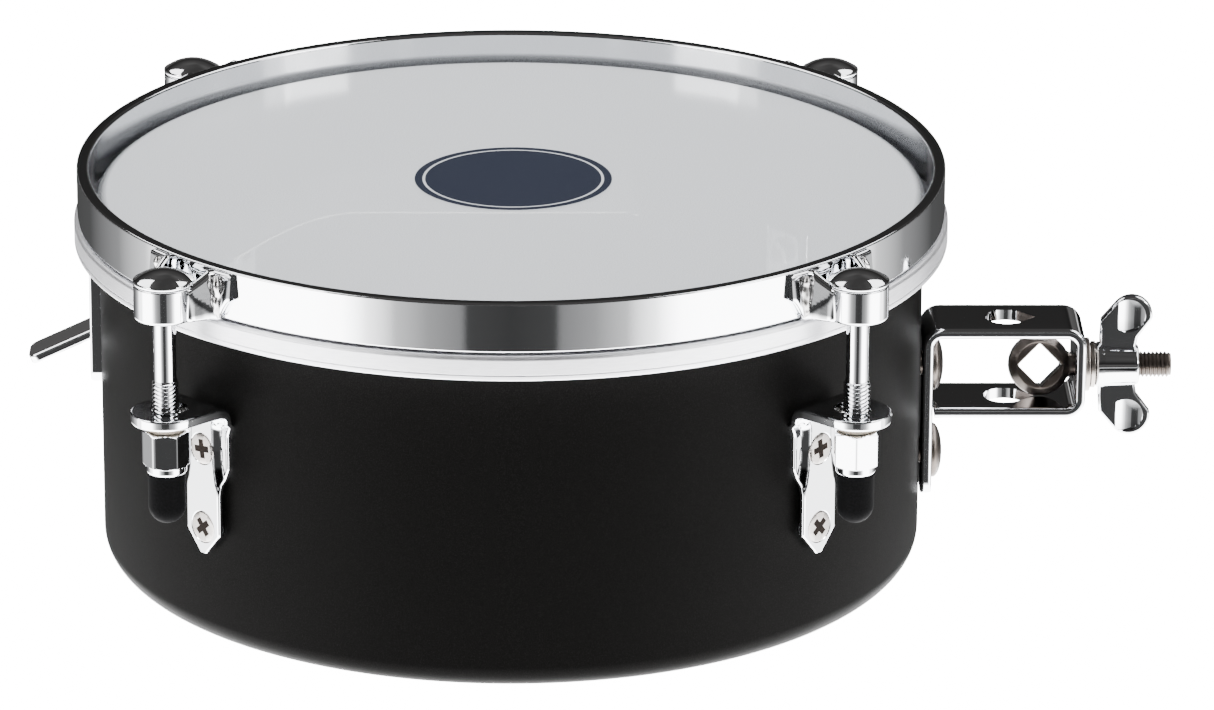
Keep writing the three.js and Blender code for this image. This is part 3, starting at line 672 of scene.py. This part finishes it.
def build_ears():
    """A cup for the rod, and on each side a creased strap that runs to a pad on the hoop."""
    floor = CUP_BOTTOM + CUP_FLOOR
    cup = [(6.3, CUP_TOP - 0.4), (6.7, CUP_TOP), (CUP_R - 0.5, CUP_TOP)]
    cup += arc(CUP_R - 0.5, CUP_TOP - 0.5, 0.5, 90, 0, 4) + arc(CUP_R - 1.0, CUP_BOTTOM + 1.0, 1.0, 0, -90, 6)
    cup += [(4.2, CUP_BOTTOM), (4.2, floor), (6.3, floor)]
    ear = raw(on_rod(turned(cup, closed=True)))
    boolean(ear, [piece for sign in (1, -1) for piece in (ear_leg(sign), ear_foot(sign))], "UNION")
    boolean(ear, [on_rod(cylinder(6.25, floor, 12)), on_rod(cylinder(ROD_HEAD_R + 0.25, CUP_TOP + 0.02, 14)),
                  cylinder(HOOP_HIGH.x + 0.03, -20, 20, WIDE)])
    at_lugs(ear, "hoop_ear", CHROME, "hoop")


def bead(path, radius, seed):
    """A lumpy weld bead along a path, thinning at its ends."""
    line = resample(path, 0.45)
    rings = []
    for i, (point, along) in enumerate(zip(line, tangents(line))):
        t = i / (len(line) - 1)
        side = along.cross(Vector((0.3, 0.2, 1))).normalized()
        over = side.cross(along)
        ring = []
        for across, up in around(1, 24):
            spoke = side * across + over * up
            lump = noise.noise((Vector(point) + spoke * 1.6) * 0.38 + Vector((seed, 0, 0)))
            r = radius * (1 + 0.55 * lump) * min(1, 5 * t + 0.3, 5 * (1 - t) + 0.3)
            ring.append(tuple(Vector(point) + spoke * r))
        rings.append(ring)
    return lofted(rings)


def build_welds():
    """The rough beads that join each leg and pad: one upright in each corner and one along the hoop below."""
    low = [(x, y, -5.9) for x, y in on_circle(HOOP_HIGH.x + 0.35, (-10.4, -7, -3.5, 0, 3.5, 7, 10.4))]
    at_lugs(raw(bead(low, 0.95, 0.4)), "ear_weld", WELD_AND_SHADE, "hoop", replace=False)
    for side, sign in (("left", -1), ("right", 1)):
        corner = [(135.5, sign * 12.55, 7.0), (135.3, sign * 12.75, 4.0), (135.2, sign * 12.75, 0.0),
                  (135.0, sign * 12.6, -4.0), (134.7, sign * 12.5, -6.2)]
        at_lugs(raw(bead(corner, 1.35, 1.1 + sign)), f"ear_weld_{side}", WELD_AND_SHADE, "hoop", replace=False)


def build_rods():
    major, minor, thread_top, radius, low = 4.0, 3.38, -25.8, ROD_HEAD_R, ROD_HEAD_LOW
    head = [(0, thread_top - 1.0), (minor, thread_top - 1.0), (minor, low - 1.2), (minor + 0.5, low - 0.4),
            (minor + 1.6, low)]
    head += arc(radius - 0.5, low + 0.5, 0.5, -90, 0, 3) + [(radius, low + 0.9), (radius - 0.12, low + 1.1)]
    crown = radius - 0.35
    rise = ROD_HIGH.z - low - 1.15
    ball = (crown ** 2 + rise ** 2) / (2 * rise)
    half_angle = degrees(asin(crown / ball))
    head += [(r, ROD_HIGH.z - ball + z) for z, r in (polar(ball, half_angle * k / 14) for k in range(14, -1, -1))]
    rod = boolean(raw(turned(head)), [thread(major, minor, ROD_LOW.z, thread_top)], "UNION")
    rod.data.transform(shift(ROD_R * MM))
    at_lugs(rod, "tension_rod", CHROME, "hoop")


def build_brackets():
    """A shelf round the rod, bent down into a pointed plate with swept-back wings."""
    end_r, wing, neck, bend, tip_r = 10.5, 11.2, 7.1, 3.4, 2.6
    shoulder, neck_z, taper, tip = -57.0, -62.2, -78.3, -85.1
    wing_drop, wing_drop_back = 3.3, 1.9
    middle = FACE - PLATE / 2
    shelf_mid = SHELF_TOP - SHELF / 2
    corner_x = middle + bend
    corner_z = shelf_mid - bend
    line = [(ROD_R + end_r - 0.02, shelf_mid)]
    line += [(ROD_R + polar(end_r, a)[0], shelf_mid) for a in range(6, 96, 6)]
    line += [(corner_x + 4, shelf_mid)] + arc(corner_x, corner_z, bend, 90, 180, 8)
    line += [(middle, z) for z in (shoulder, neck_z, taper, tip)]
    line = resample(line, 0.8)
    rings = []
    for (x, z), along in zip(line, tangents(line)):
        if x > corner_x and z > corner_z:
            if x >= ROD_R:
                half = sqrt(max(end_r ** 2 - (x - ROD_R) ** 2, 0.04))
            else:
                half = table(x, [(corner_x, wing), (ROD_R, end_r)])
        else:
            half = table(-z, [(-SHELF_TOP, wing), (-SHELF_TOP + 5, wing), (-SHELF_TOP + 10, wing - 1.9),
                              (-shoulder, wing - 1.9), (-neck_z, neck), (-taper, neck), (-tip, 1.3)])
            if z < tip + 2.2:
                half = min(half, sqrt(max(tip_r ** 2 - max(-z + tip + 2.2, 0) ** 2, 0.3)))
        thick = table(-z, [(-SHELF_TOP + SHELF / 2, SHELF), (-corner_z, SHELF * 0.5 + PLATE * 0.5),
                           (-corner_z + 3, PLATE)])
        edge = table(-z, [(40, 4.4), (51, 4.6), (57, 5.0), (62, 6.0), (66, 7.2)])
        deep = wing_drop * smooth(-z, 41.0, 44.5) * smooth(z, -67.0, -62.5)
        ring = []
        for y, u in slab_section(half, thick, min(0.6, thick / 2 - 0.02, half * 0.6), 52):
            a, b = x + along.y * u, z - along.x * u
            if x < middle + 0.5:
                a -= min(deep * min(max((abs(y) - edge) / 3.7, 0), 1), wing_drop if u > 0 else wing_drop_back)
            ring.append((a, y, b))
        rings.append(ring)
    slot = arc(ROD_R, 0, 4.4, -90, 90, 16) + arc(ROD_R - 3.2, 0, 4.4, 90, 270, 16)
    sink = turned([(0, 120), (2.5, 120), (2.5, FACE - 1.45), (5.1, FACE - 0.12), (5.25, FACE + 3), (0, FACE + 3)])
    cutters = [prism(slot, SHELF_TOP - 8, SHELF_TOP + 3)] + [along_x(sink, z) for _, z, _ in LUG_SCREWS]
    at_lugs(boolean(raw(lofted(rings)), cutters), "lug_bracket", CHROME)


def phillips(depth, top, reach, width):
    """A cross recess sunk along X from the plane x = top."""
    outline = [(-reach, top + 0.5), (reach, top + 0.5), (reach * 0.72, top - depth * 0.6), (0.35, top - depth),
               (-0.35, top - depth), (-reach * 0.72, top - depth * 0.6)]
    blade = prism(outline, -width / 2, width / 2, "y")
    return [along_x(moved(blade, spin(turn, "Z"))) for turn in (0, 90)]


def build_lug_screws():
    """Countersunk screws with a dark insert of painted shade in each cross, each on a stand-off between the shell
    and the plate.
    """
    face, end, head, shank = FACE + 0.02, 121.0, 4.85, 2.2
    profile = [(0, face), (head - 0.45, face), (head - 0.1, face - 0.12), (head, face - 0.35),
               (shank + 0.2, face - 2.0), (shank, face - 2.4), (shank, end + 0.5), (shank - 0.4, end), (0, end)]
    spacer = [(2.5, SHELL_R + 0.05), (5.4, SHELL_R + 0.05), (5.4, FACE - PLATE), (2.5, FACE - PLATE)]
    for height, z, turn in LUG_SCREWS:
        at_lugs(raw(along_x(turned(spacer, closed=True), z)), f"lug_stand_off_{height}", ZINC, replace=False)
        screw = boolean(raw(along_x(turned(profile))), phillips(1.9, face, 3.0, 2.0))
        # a dark insert that fills the cross: painted shade standing in for the shadow in the recess
        blades = phillips(1.75, FACE - 0.45, 2.95, 1.95)
        cross = boolean(raw(blades[0]), blades[1:], "UNION")
        for piece in (screw, cross):
            piece.data.transform(shift(z=z * MM) @ spin(turn, "X"))
        at_lugs(screw, f"lug_screw_{height}", SCREW_NICKEL)
        at_lugs(cross, f"screw_recess_{height}", RECESS_SHADE, replace=False)


def build_lug_plates():
    outer, sheet = 125.2, 2.0
    outline = rounded_rectangle(7.0, 19.0, 2.5, 6, (0, -64.0))
    plate = bevelled(raw(prism(outline, outer - sheet, outer, "x")), 0.3)
    nut = hex_solid(8.0, outer - sheet - 2.6, outer - sheet + 0.2, 0.35)
    boolean(plate, [along_x(nut, z) for _, z, _ in LUG_SCREWS], "UNION")
    boolean(plate, [along_x(cylinder(2.45, 110, 130), z) for _, z, _ in LUG_SCREWS])
    at_lugs(plate, "lug_backing_plate", ZINC)


def build_nuts():
    low, high = NUT_LOW.z, NUT_HIGH.z
    across, collar, hex_low = 12.7, 5.95, -52.8
    skirt = [(0, hex_low + 0.4), (collar, hex_low + 0.4), (collar, low + 1.1)]
    skirt += arc(collar - 0.9, low + 0.9, 0.9, 0, -90, 5) + [(0, low)]
    nut = boolean(raw(hex_solid(across, hex_low, high, 0.6)), [turned(skirt)], "UNION")
    boolean(nut, [bore(4.05, 4.45, 0.2, low, high)])
    nut.data.transform(shift(ROD_R * MM))
    at_lugs(nut, "tuning_nut", CHROME, "own")


def build_washers_and_caps():
    top = SHELF_TOP - SHELF
    metal = [(4.35, top - 0.1), (6.75, top - 0.1), (6.75, top - 0.85), (6.35, top - 1.2), (4.35, top - 1.2)]
    at_lugs(raw(on_rod(turned(metal, closed=True))), "tuning_washer", NICKEL)
    soft = [(4.3, top - 1.25), (6.1, top - 1.25)] + arc(5.7, top - 1.75, 0.5, 40, -60, 4)
    soft += [(5.4, top - 2.75), (4.3, top - 2.75)]
    at_lugs(raw(on_rod(turned(soft, closed=True))), "washer_seat", NYLON, replace=False)
    cap_top, bottom, radius, rod_end = NUT_LOW.z - 0.15, -71.3, 5.65, -66.2
    cap = [(0, bottom)] + arc(0, bottom + radius, radius, -84, 0, 12) + [(radius, cap_top - 0.5)]
    cap += [(radius - 0.35, cap_top), (4.15, cap_top), (4.15, rod_end), (0, rod_end)]
    at_lugs(raw(on_rod(turned(cap))), "rubber_cap", RUBBER, "hoop")


# ---- stand clamp ----
def build_clamp():
    top, right, arm, leg, bend = CLAMP_HIGH.z, CLAMP_HIGH.x, -72.2, CLAMP_LOW.z, 6.0
    half, radius, width, corner = STRAP / 2, bend - STRAP / 2, CLAMP_HIGH.y, 4.0
    line = [(CLAMP_BACK + half, leg), (CLAMP_BACK + half, leg + corner)]
    for x, z, start in ((CLAMP_BACK + bend, top - bend, 180), (right - bend, top - bend, 90),
                        (right - bend, arm + bend, 0)):
        line += arc(x, z, radius, start, start - 90, 10)
    line.append((131.2, arm + half))
    line = resample(line, 1.0)

    def half_width(i):
        rise = min(line[i][1] - leg, corner)
        if line[i][0] > CLAMP_BACK + half + 0.01:
            return width
        return width - corner + sqrt(max(corner ** 2 - (corner - rise) ** 2, 0.01))

    clamp = raw(strap(line, STRAP, half_width, 1.15))
    key_x, key_r, key_tip, hole = 153.5, 6.5, 162.6, 4.4
    touch = degrees(acos(key_r / (key_tip - key_x)))
    cutters = [prism([(key_tip, 0)] + arc(key_x, 0, key_r, touch, 360 - touch, 40), arm - 5, top + 5)]
    cutters += [along_x(cylinder(hole, CLAMP_BACK - 3, CLAMP_BACK + 6), z) for _, z in CLAMP_BOLTS]
    cutters.append(along_x(cylinder(hole, right - 6, right + 3), EYE_Z))
    finish(boolean(clamp, cutters), "clamp_bracket", CHROME)


def build_clamp_bolts():
    seat, head, major, end = CLAMP_BACK + STRAP + 0.05, 8.5, 3.95, 113.5
    dome = [(0, seat + 3.6)] + [(head * sin(radians(a)), seat + 0.75 + 2.85 * cos(radians(a)))
                                for a in range(8, 91, 6)]
    dome += [(head, seat + 0.6), (head - 0.2, seat + 0.1), (head - 0.5, seat), (major, seat), (major, seat - 8),
             (0, seat - 8)]
    nut_top = SHELL_INSIDE - 2.5 - 0.1
    nut_low = nut_top - 6.5
    hole = [(0, nut_low - 1.5), (4.5, nut_low - 1.5), (4.5, nut_low + 0.5), (4.05, nut_low + 0.9),
            (4.05, nut_top + 1), (0, nut_top + 1)]
    for height, z in CLAMP_BOLTS:
        bolt = boolean(raw(turned(dome)), [thread(major, 3.4, end, seat - 7.5)], "UNION")
        nut = boolean(raw(hex_solid(13, nut_low, nut_top, 0.5)), [turned(hole)])
        for piece, kind, look in ((bolt, "bolt", BRONZED), (nut, "nut", ZINC)):
            piece.data.transform(shift(z=z * MM) @ spin(90, "Y"))
            finish(piece, f"clamp_{kind}_{height}", look)
    low, high = node_box("clamp_backing_plate")
    outline = rounded_rectangle(high.y, (high.z - low.z) / 2, 3, 6, (0, (high.z + low.z) / 2))
    plate = bevelled(raw(prism(outline, low.x, high.x, "x")), 0.3)
    boolean(plate, [along_x(cylinder(4.3, 110, 130), z) for _, z in CLAMP_BOLTS])
    finish(plate, "clamp_backing_plate", ZINC)


def build_eyebolt():
    x, radius, length, chamfer, hole, tilt, end = 164.0, 9.5, 12.4, 3.2, 7.0, -17, node_box("eyebolt")[1].x
    half = length / 2
    rim = [(radius - 2.5, half), (radius - 2.15, half - 0.12), (radius - 0.25, half - chamfer + 0.3),
           (radius, half - chamfer - 0.3)]
    body = raw(turned([(0, half)] + rim + [(r, -z) for r, z in rim[::-1]] + [(0, -half)]))
    shank = turned([(0, hole + 0.8), (4.6, hole + 0.8), (3.45, 10.4), (3.45, 15.0), (0, 15.0)])
    boolean(body, [along_x(shank), along_x(thread(3.98, 3.4, 14.6, end - x))], "UNION")
    diamond = []
    for corner in (0, 90, 180, 270):
        diamond += arc(*polar(hole - 1.1, corner), 0.7, corner - 45, corner + 45, 4)
    funnels = [lofted([[(a, b, s * (half - 0.55)) for a, b in diamond],
                       [(a * 1.21, b * 1.21, s * (half + 0.6)) for a, b in diamond]]) for s in (1, -1)]
    boolean(body, [prism(diamond, -length, length)] + funnels)
    body.data.transform(shift(x * MM, 0, EYE_Z * MM) @ spin(90 + tilt, "X"))
    finish(body, "eyebolt", BRONZED, "eyebolt")


def build_clamp_washers():
    inner, flat_outer = 4.4, 8.35
    low, high = node_box("flat_washer")
    section = rounded_rectangle((high.x - low.x) / 2, (flat_outer - inner) / 2, 0.35, 3)
    section = [(b + (flat_outer + inner) / 2, a + (high.x + low.x) / 2) for a, b in section]
    finish(raw(along_x(turned(section, closed=True), EYE_Z)), "flat_washer", DARK_NICKEL, "clamp_washers")
    low, high = node_box("spring_washer")
    outer, steps = high.y, 90
    section = rounded_rectangle((high.x - low.x) / 2, (outer - inner) / 2, 0.2, 2)
    rings = []
    for i in range(steps + 1):
        t = i / steps
        y, z = polar(1, 96 + 348 * t)
        lift = 0.35 * (t - 0.5)
        ring = [((inner + outer) / 2 + b, (low.x + high.x) / 2 + a * 0.86 + lift) for a, b in section]
        rings.append([(h, r * y, EYE_Z + r * z) for r, h in ring])
    finish(raw(lofted(rings)), "spring_washer", DARK_NICKEL, "clamp_washers")


def build_wing_nut():
    start, hub_end = WING_LOW.x, 194.9
    hub = [(0, start), (6.7, start), (7.1, start + 0.5), (7.0, start + 2.2), (6.75, start + 2.7)]
    hub += [(6.35, hub_end - 1.4)] + arc(5.45, hub_end - 0.9, 0.9, 5, 90, 5) + [(0, hub_end)]
    nut = raw(along_x(turned(hub)))
    lobe_x, offset, radius, thick = 192.4, 16.4, 6.5, 3.3
    upper = [(start + 1.0, 4.0), (182.6, 9.5), (182.9, 15.2)] + arc(lobe_x, offset, radius, 142, -12, 28)
    upper += [(194.6, 9.4), (hub_end - 1.4, 4.0)]
    outline = upper + [(x, -z) for x, z in upper[::-1]]
    wings = bevelled(raw(prism(outline, -thick / 2, thick / 2, "y")), 0.85, 4)
    ball = turned([(11 * sin(radians(a)), 33 * cos(radians(a))) for a in range(0, 181, 3)])
    dishes = []
    for sign in (1, -1):
        for side in (1, -1):
            lean = Matrix.Identity(4)
            lean[1][0] = -0.24 * side
            dish = raw(moved(ball, shift(lobe_x - 1.2, side * (thick / 2 + 9.75), sign * offset) @ lean))
            boolean(dish, [prism(arc(lobe_x - 1.0, sign * offset, 5.35, 0, 350, 35), -4, 4, "y")], "INTERSECT")
            dishes.append(taken(dish))
    boolean(nut, [taken(boolean(wings, dishes))], "UNION")
    boolean(nut, [along_x(bore(4.1, 4.7, 0.1, start, hub_end))])
    nut.data.transform(shift(z=EYE_Z * MM))
    finish(nut, "wing_nut", CHROME, "wing_nut")


# ---- snare unit ----
def build_guard():
    outer, back, sheet, corner = -GUARD_LOW.x, -GUARD_HIGH.x, 1.5, 4.0
    half, top, bottom = GUARD_HIGH.y, GUARD_HIGH.z, GUARD_LOW.z

    def trough(half, top, radius):
        """An outline open to the top whose lower corners are rounded about the same centres."""
        centre = half - radius
        outline = [(half, top), (-half, top)] + arc(-centre, bottom + corner, radius, 180, 270, 12)
        return outline + arc(centre, bottom + corner, radius, 270, 360, 12)

    guard = bevelled(raw(prism(trough(half, top, corner), -outer, -back + 3, "x")), 0.7, 4)
    cutters = [prism(trough(half - sheet, top + 4, corner - sheet), -outer + sheet, -back + 4, "x"),
               prism(rounded_rectangle(LEVER_SLOT, 4.95, 1.0, 4, (0, -44.55)), -140, -120, "x")]
    cutters += [along_x(cylinder(2.2, -140, -120), z) for _, z in GUARD_SCREWS]
    cutters.append(cylinder(SHELL_R + 0.05, -90, 0, WIDE))
    finish(boolean(guard, cutters), "strainer_guard", CHROME)


def build_strainer_screws():
    web = -(SHELL_INSIDE - 2 - 0.1)
    profile = [(0, 1.85)] + [(4.0 * sin(radians(a)), 0.25 + 1.6 * cos(radians(a))) for a in range(12, 91, 6)]
    profile += [(4.0, 0.1), (3.85, 0), (1.95, 0), (1.95, -6.4), (1.6, -6.9), (0, -6.9)]
    for height, z in GUARD_SCREWS:
        screw = boolean(raw(along_x(turned(profile))), phillips(1.5, 1.85, 1.9, 0.8))
        screw.data.transform(shift(web * MM, 0, z * MM))
        finish(screw, f"strainer_screw_{height}", NICKEL)


def from_pivot(solid, slope=SNARE_SLOPE):
    """Turns something drawn outwards from the pivot, along +X, to a slope in degrees."""
    return moved(solid, shift(PIVOT[0], 0, PIVOT[1]) @ spin(-slope, "Y"))


def build_pivot():
    finish(refined("snare_pivot_bracket", 0.3), "snare_pivot_bracket", ZINC)
    half = PIN_HIGH.y
    profile = [(0, -half), (1.5, -half), (1.98, -half + 0.45), (1.98, half - 0.45), (1.5, half), (0, half)]
    pin = moved(turned(profile, 48), shift(PIVOT[0], 0, PIVOT[1]) @ spin(90, "X"))
    finish(raw(pin), "snare_pivot_pin", ZINC)


def build_lever():
    """A flat handle with rounded corners, a barrel on the pin, and a short inner tail."""
    half, sheet, reach, tip = LEVER_HALF, 2.9, 34.0, 2.6
    line = resample([(0.0, 0.0), (-reach, 0.0)], 0.6)

    def half_width(i):
        left = min(reach + line[i][0], tip)
        return half - tip + sqrt(max(tip ** 2 - (tip - left) ** 2, 0.01))

    def disc(radius):
        return arc(0, 0, radius, 0, 352.5, 47)

    lever = raw(from_pivot(strap(line, sheet, half_width, 0.75), 25))
    tail = rounded_rectangle(6.5, 1.1, 0.4, 3, (6.5, 0))
    boolean(lever, [from_pivot(prism(tail, -half, half, "y")), from_pivot(prism(disc(4.0), -half, half, "y"), 0)],
            "UNION")
    boolean(lever, [from_pivot(prism(disc(2.25), -20, 20, "y"), 0)])
    finish(lever, "snare_lever", CHROME, "snare_unit")


def build_arm_and_plates():
    def flat_bar(start, end, low, high, half):
        return raw(from_pivot(prism([(start, low), (end, low), (end, high), (start, high)], -half, half, "y")))

    window = moved(prism(rounded_rectangle(7.0, 2.6, 2.5, 5), -2, 6), shift(22))
    arm = boolean(bevelled(flat_bar(6, 37.5, 1.4, 2.9, LEVER_HALF), 0.35), [from_pivot(window)])
    finish(arm, "snare_arm", ZINC, "snare_unit")
    finish(bevelled(flat_bar(32.5, 40, 3.2, 5.2, 20.8), 0.45), "snare_holder", ZINC, "snare_unit")
    low, high = node_box("snare_tip")
    tip = raw(prism([(low.x, low.z), (high.x, low.z), (high.x, high.z), (low.x, high.z)], low.y, high.y, "y"))
    finish(bevelled(tip, 0.4), "snare_tip", WIRE, "snare_unit")


def snare_line():
    """The middle line of the snare band, from the holder to the tip, in side view."""
    along = Vector(polar(1, SNARE_SLOPE))
    reach, rise = 40.3, 4.2
    start = Vector(PIVOT) + reach * along + rise * Vector((-along.y, along.x))
    level, flat = -1.9, -46.0
    a, b, c = start + 11 * along, Vector((flat - 16, level)), Vector((flat, level))
    curve = []
    for i in range(25):
        t = i / 24
        curve.append(tuple((1 - t) ** 3 * start + 3 * t * (1 - t) ** 2 * a + 3 * t * t * (1 - t) * b + t ** 3 * c))
    return resample(curve + [(36.5, level)], 0.4)


def build_snares():
    """Twenty coiled strands side by side."""
    line = snare_line()
    lengths = [0.0]
    for a, b in zip(line, line[1:]):
        lengths.append(lengths[-1] + dist(a, b))
    directions = tangents(line)
    strands, half_band, pitch, per_turn, columns = 20, 19.0, 1.7, 5, 8
    thick, thin, coil_share = 0.86, 0.52, 0.42
    stations, k = [], 0
    for i in range(int(lengths[-1] / (pitch / per_turn)) + 1):
        s = min(i * pitch / per_turn, lengths[-1])
        while k + 2 < len(lengths) and lengths[k + 1] < s:
            k += 1
        t = (s - lengths[k]) / (lengths[k + 1] - lengths[k])
        x, z = (p + (q - p) * t for p, q in zip(line[k], line[k + 1]))
        stations.append((s, x, z, directions[k]))
    verts, faces = [], []
    for strand in range(strands):
        y = half_band * (2 * strand / (strands - 1) - 1)
        rings = []
        for s, x, z, along in stations:
            ring = []
            for c in range(columns):
                angle = tau * c / columns
                r = thick if (s / pitch - c / columns) % 1 < coil_share else thin
                up = r * sin(angle)
                ring.append((x - along.y * up, y + r * cos(angle), z + along.x * up))
            rings.append(ring)
        v, f = lofted(rings)
        faces += [[i + len(verts) for i in face] for face in f]
        verts += v
    finish(raw((verts, faces)), "snare_wires", WIRE, "snare_unit", sharp=60)


# ---- studio and camera, in metres ----
def stage_piece(name, solid, material, *rays):
    """A piece of the studio that only some kinds of ray see."""
    verts, faces = solid
    mesh = bpy.data.meshes.new(name)
    mesh.from_pydata(verts, [], faces)
    mesh.materials.append(material)
    obj = placed(name, mesh)
    for ray in ("camera", "diffuse", "glossy", "transmission", "shadow", "volume_scatter"):
        setattr(obj, f"visible_{ray}", ray in rays)


def reflected_floor():
    """What shiny metal sees below it, by direction: a white floor that fades towards the horizon, with a dim gap
    straight in front and a darker studio behind."""
    n = Nodes("reflected_floor")
    x, y, _ = n.split()
    angle = n.math("ARCTAN2", n.math("ABSOLUTE", x), n.times(y, -1.0))
    ramp = n.add("ShaderNodeValToRGB", {0: n.math("DIVIDE", angle, pi)})
    stops = [(0.0, 0.0045), (0.062, 0.006), (0.072, 0.026), (0.12, 0.04), (0.167, 0.08), (0.21, 0.3), (0.25, 0.9),
             (0.29, 1.0), (0.45, 1.0), (0.5, 0.38), (0.55, 0.42), (0.58, 0.3), (0.62, 0.1), (0.70, 0.03),
             (0.82, 0.008), (1.0, 0.005)]
    band = ramp.color_ramp
    while len(band.elements) < len(stops):
        band.elements.new(0.5)
    for element, (place, value) in zip(band.elements, stops):
        element.position = place
        element.color = (value, value, value, 1)
    reach = n.reach(x, y)
    near = n.range(reach, 5.0, 7.8, 1, 0)
    fade = n.math("POWER", 10.0, n.math("DIVIDE", n.range(reach, 9.5, 30.0, 0, -20.5), 9.0))
    level = n.math("MAXIMUM", n.times(ramp.outputs[0], fade), n.times(near, near))
    return n.emitting(n.times(level, FLOOR_SHINE))


def dim_studio():
    """The dark room above the horizon: a lighter band just over it, then slowly lighter upwards, with soft
    patches."""
    n = Nodes("dim_studio")
    patch = n.range(n.noise(0.6, 1), 0.35, 0.65, 0.7, 1.3)
    height = n.split()[2]
    level = n.math("MAXIMUM", n.range(height, 0.62, 0.74, 0.10, 0.0), n.range(height, 0.6, 2.6, 0.012, 0.085))
    return n.emitting(n.times(patch, level), (1.0, 0.97, 0.95))


def flat_square(size, z):
    return [(-size, -size, z), (size, -size, z), (size, size, z), (-size, size, z)], [[0, 1, 2, 3]]


def round_wall(radius, low, high, steps):
    """An open wall about Z."""
    verts, faces = prism(around(radius, steps), low, high)
    return verts, faces[2:]


def curved_panel(first, count, rows):
    """A panel through (radius, z) rows, count spans of 5 degrees wide from an azimuth."""
    verts = [(*polar(r, first + 5 * i), z) for r, z in rows for i in range(count + 1)]
    width = count + 1
    return verts, [[k + i, k + i + 1, k + i + width + 1, k + i + width]
                   for k in range(0, width * (len(rows) - 1), width) for i in range(count)]


def build_stage():
    ground = cad_bounds[0][2]
    floor_size, wall_top, panel_r = 9.0, 2.6, 2.5
    floor = Nodes("floor_pale")
    floor.set(color=(0.9, 0.9, 0.9, 1), roughness=0.9, specular=0.1, emission=(1, 1, 1, 1), glow=FLOOR_GLOW)
    stage_piece("floor", flat_square(floor_size, ground), floor.material, "camera", "shadow", "transmission")
    stage_piece("backdrop", round_wall(floor_size, ground - 0.01, 9.0, 48), Nodes("backdrop").emitting(FLOOR_GLOW),
                "camera")
    stage_piece("floor_bounce", flat_square(floor_size, ground - 0.001), Nodes("floor_bounce").emitting(0.8),
                "diffuse")
    stage_piece("floor_reflected", flat_square(60.0, ground - 3.0), reflected_floor(), "glossy")
    dark = dim_studio()
    stage_piece("surround", round_wall(2.6, 0.0, wall_top, 64), dark, "glossy")
    stage_piece("ceiling", flat_square(3.0, wall_top), dark, "glossy")
    bright, strong = Nodes("softbox").emitting(5.0), Nodes("strip_light").emitting(26.0)
    for side, panel_start, strip_start in (("left", 130, 202), ("right", -35, -42)):
        panel = curved_panel(panel_start, 17, ((panel_r, 1.55), (panel_r, 2.5), (1.35, 2.5)))
        stage_piece(f"side_panel_{side}", panel, bright, "glossy")
        strip = curved_panel(strip_start, 4, ((panel_r, 0.64), (panel_r, 1.1)))
        stage_piece(f"strip_panel_{side}", strip, strong, "glossy")


def add_light(name, place, target, width, depth, power):
    data = bpy.data.lights.new(name, "AREA")
    data.shape, data.size, data.size_y, data.energy = "RECTANGLE", width, depth, power
    light = placed(name, data)
    light.location = place
    light.rotation_euler = (Vector(target) - Vector(place)).to_track_quat("-Z", "Y").to_euler()
    return light


def build_lights():
    world = bpy.data.worlds.new("studio")
    world.use_nodes = True
    background = world.node_tree.nodes["Background"]
    background.inputs[0].default_value, background.inputs[1].default_value = (1, 1, 1, 1), WORLD_GLOW
    bpy.context.scene.world = world
    add_light("overhead", (0, 0.5, 1.9), (0, 0, 0), 1.3, 1.0, 75).visible_glossy = False
    for side, x in (("left", -1.5), ("right", 1.5)):
        add_light(f"{side}_strip", (x, -0.5, 0.55), (0, 0, -0.05), 0.25, 0.8, 3)


def build_camera():
    """The viewpoint: 18.4 degrees above the head, 2.22 m from the middle of the hoop's lip, aimed a little to the
    right of it and below it."""
    elevation, distance = radians(18.394), 2.2203
    aim_right, aim_down = 0.01326, 0.02715
    lip = Vector((0, 0, HOOP_HIGH.z * MM))
    forward = Vector((0, cos(elevation), -sin(elevation)))
    side = Vector((1, 0, 0))
    up = side.cross(forward)
    aim = (forward + aim_right * side - aim_down * up).normalized()
    across = (side - side.dot(aim) * aim).normalized()
    data = bpy.data.cameras.new("camera")
    data.lens, data.sensor_width, data.clip_end = 214.0, 36, 100
    camera = placed("camera", data)
    pose = Matrix((across, across.cross(aim), -aim)).transposed().to_4x4()
    pose.translation = lip - forward * distance
    camera.matrix_world = pose
    bpy.context.scene.camera = camera


build_camera()
build_stage()
build_lights()
build_shell()
build_head()
build_hoops()
build_ears()
build_welds()
build_rods()
build_brackets()
build_lug_screws()
build_lug_plates()
build_nuts()
build_washers_and_caps()
build_clamp()
build_clamp_bolts()
build_eyebolt()
build_clamp_washers()
build_wing_nut()
build_guard()
build_strainer_screws()
build_pivot()
build_lever()
build_arm_and_plates()
build_snares()
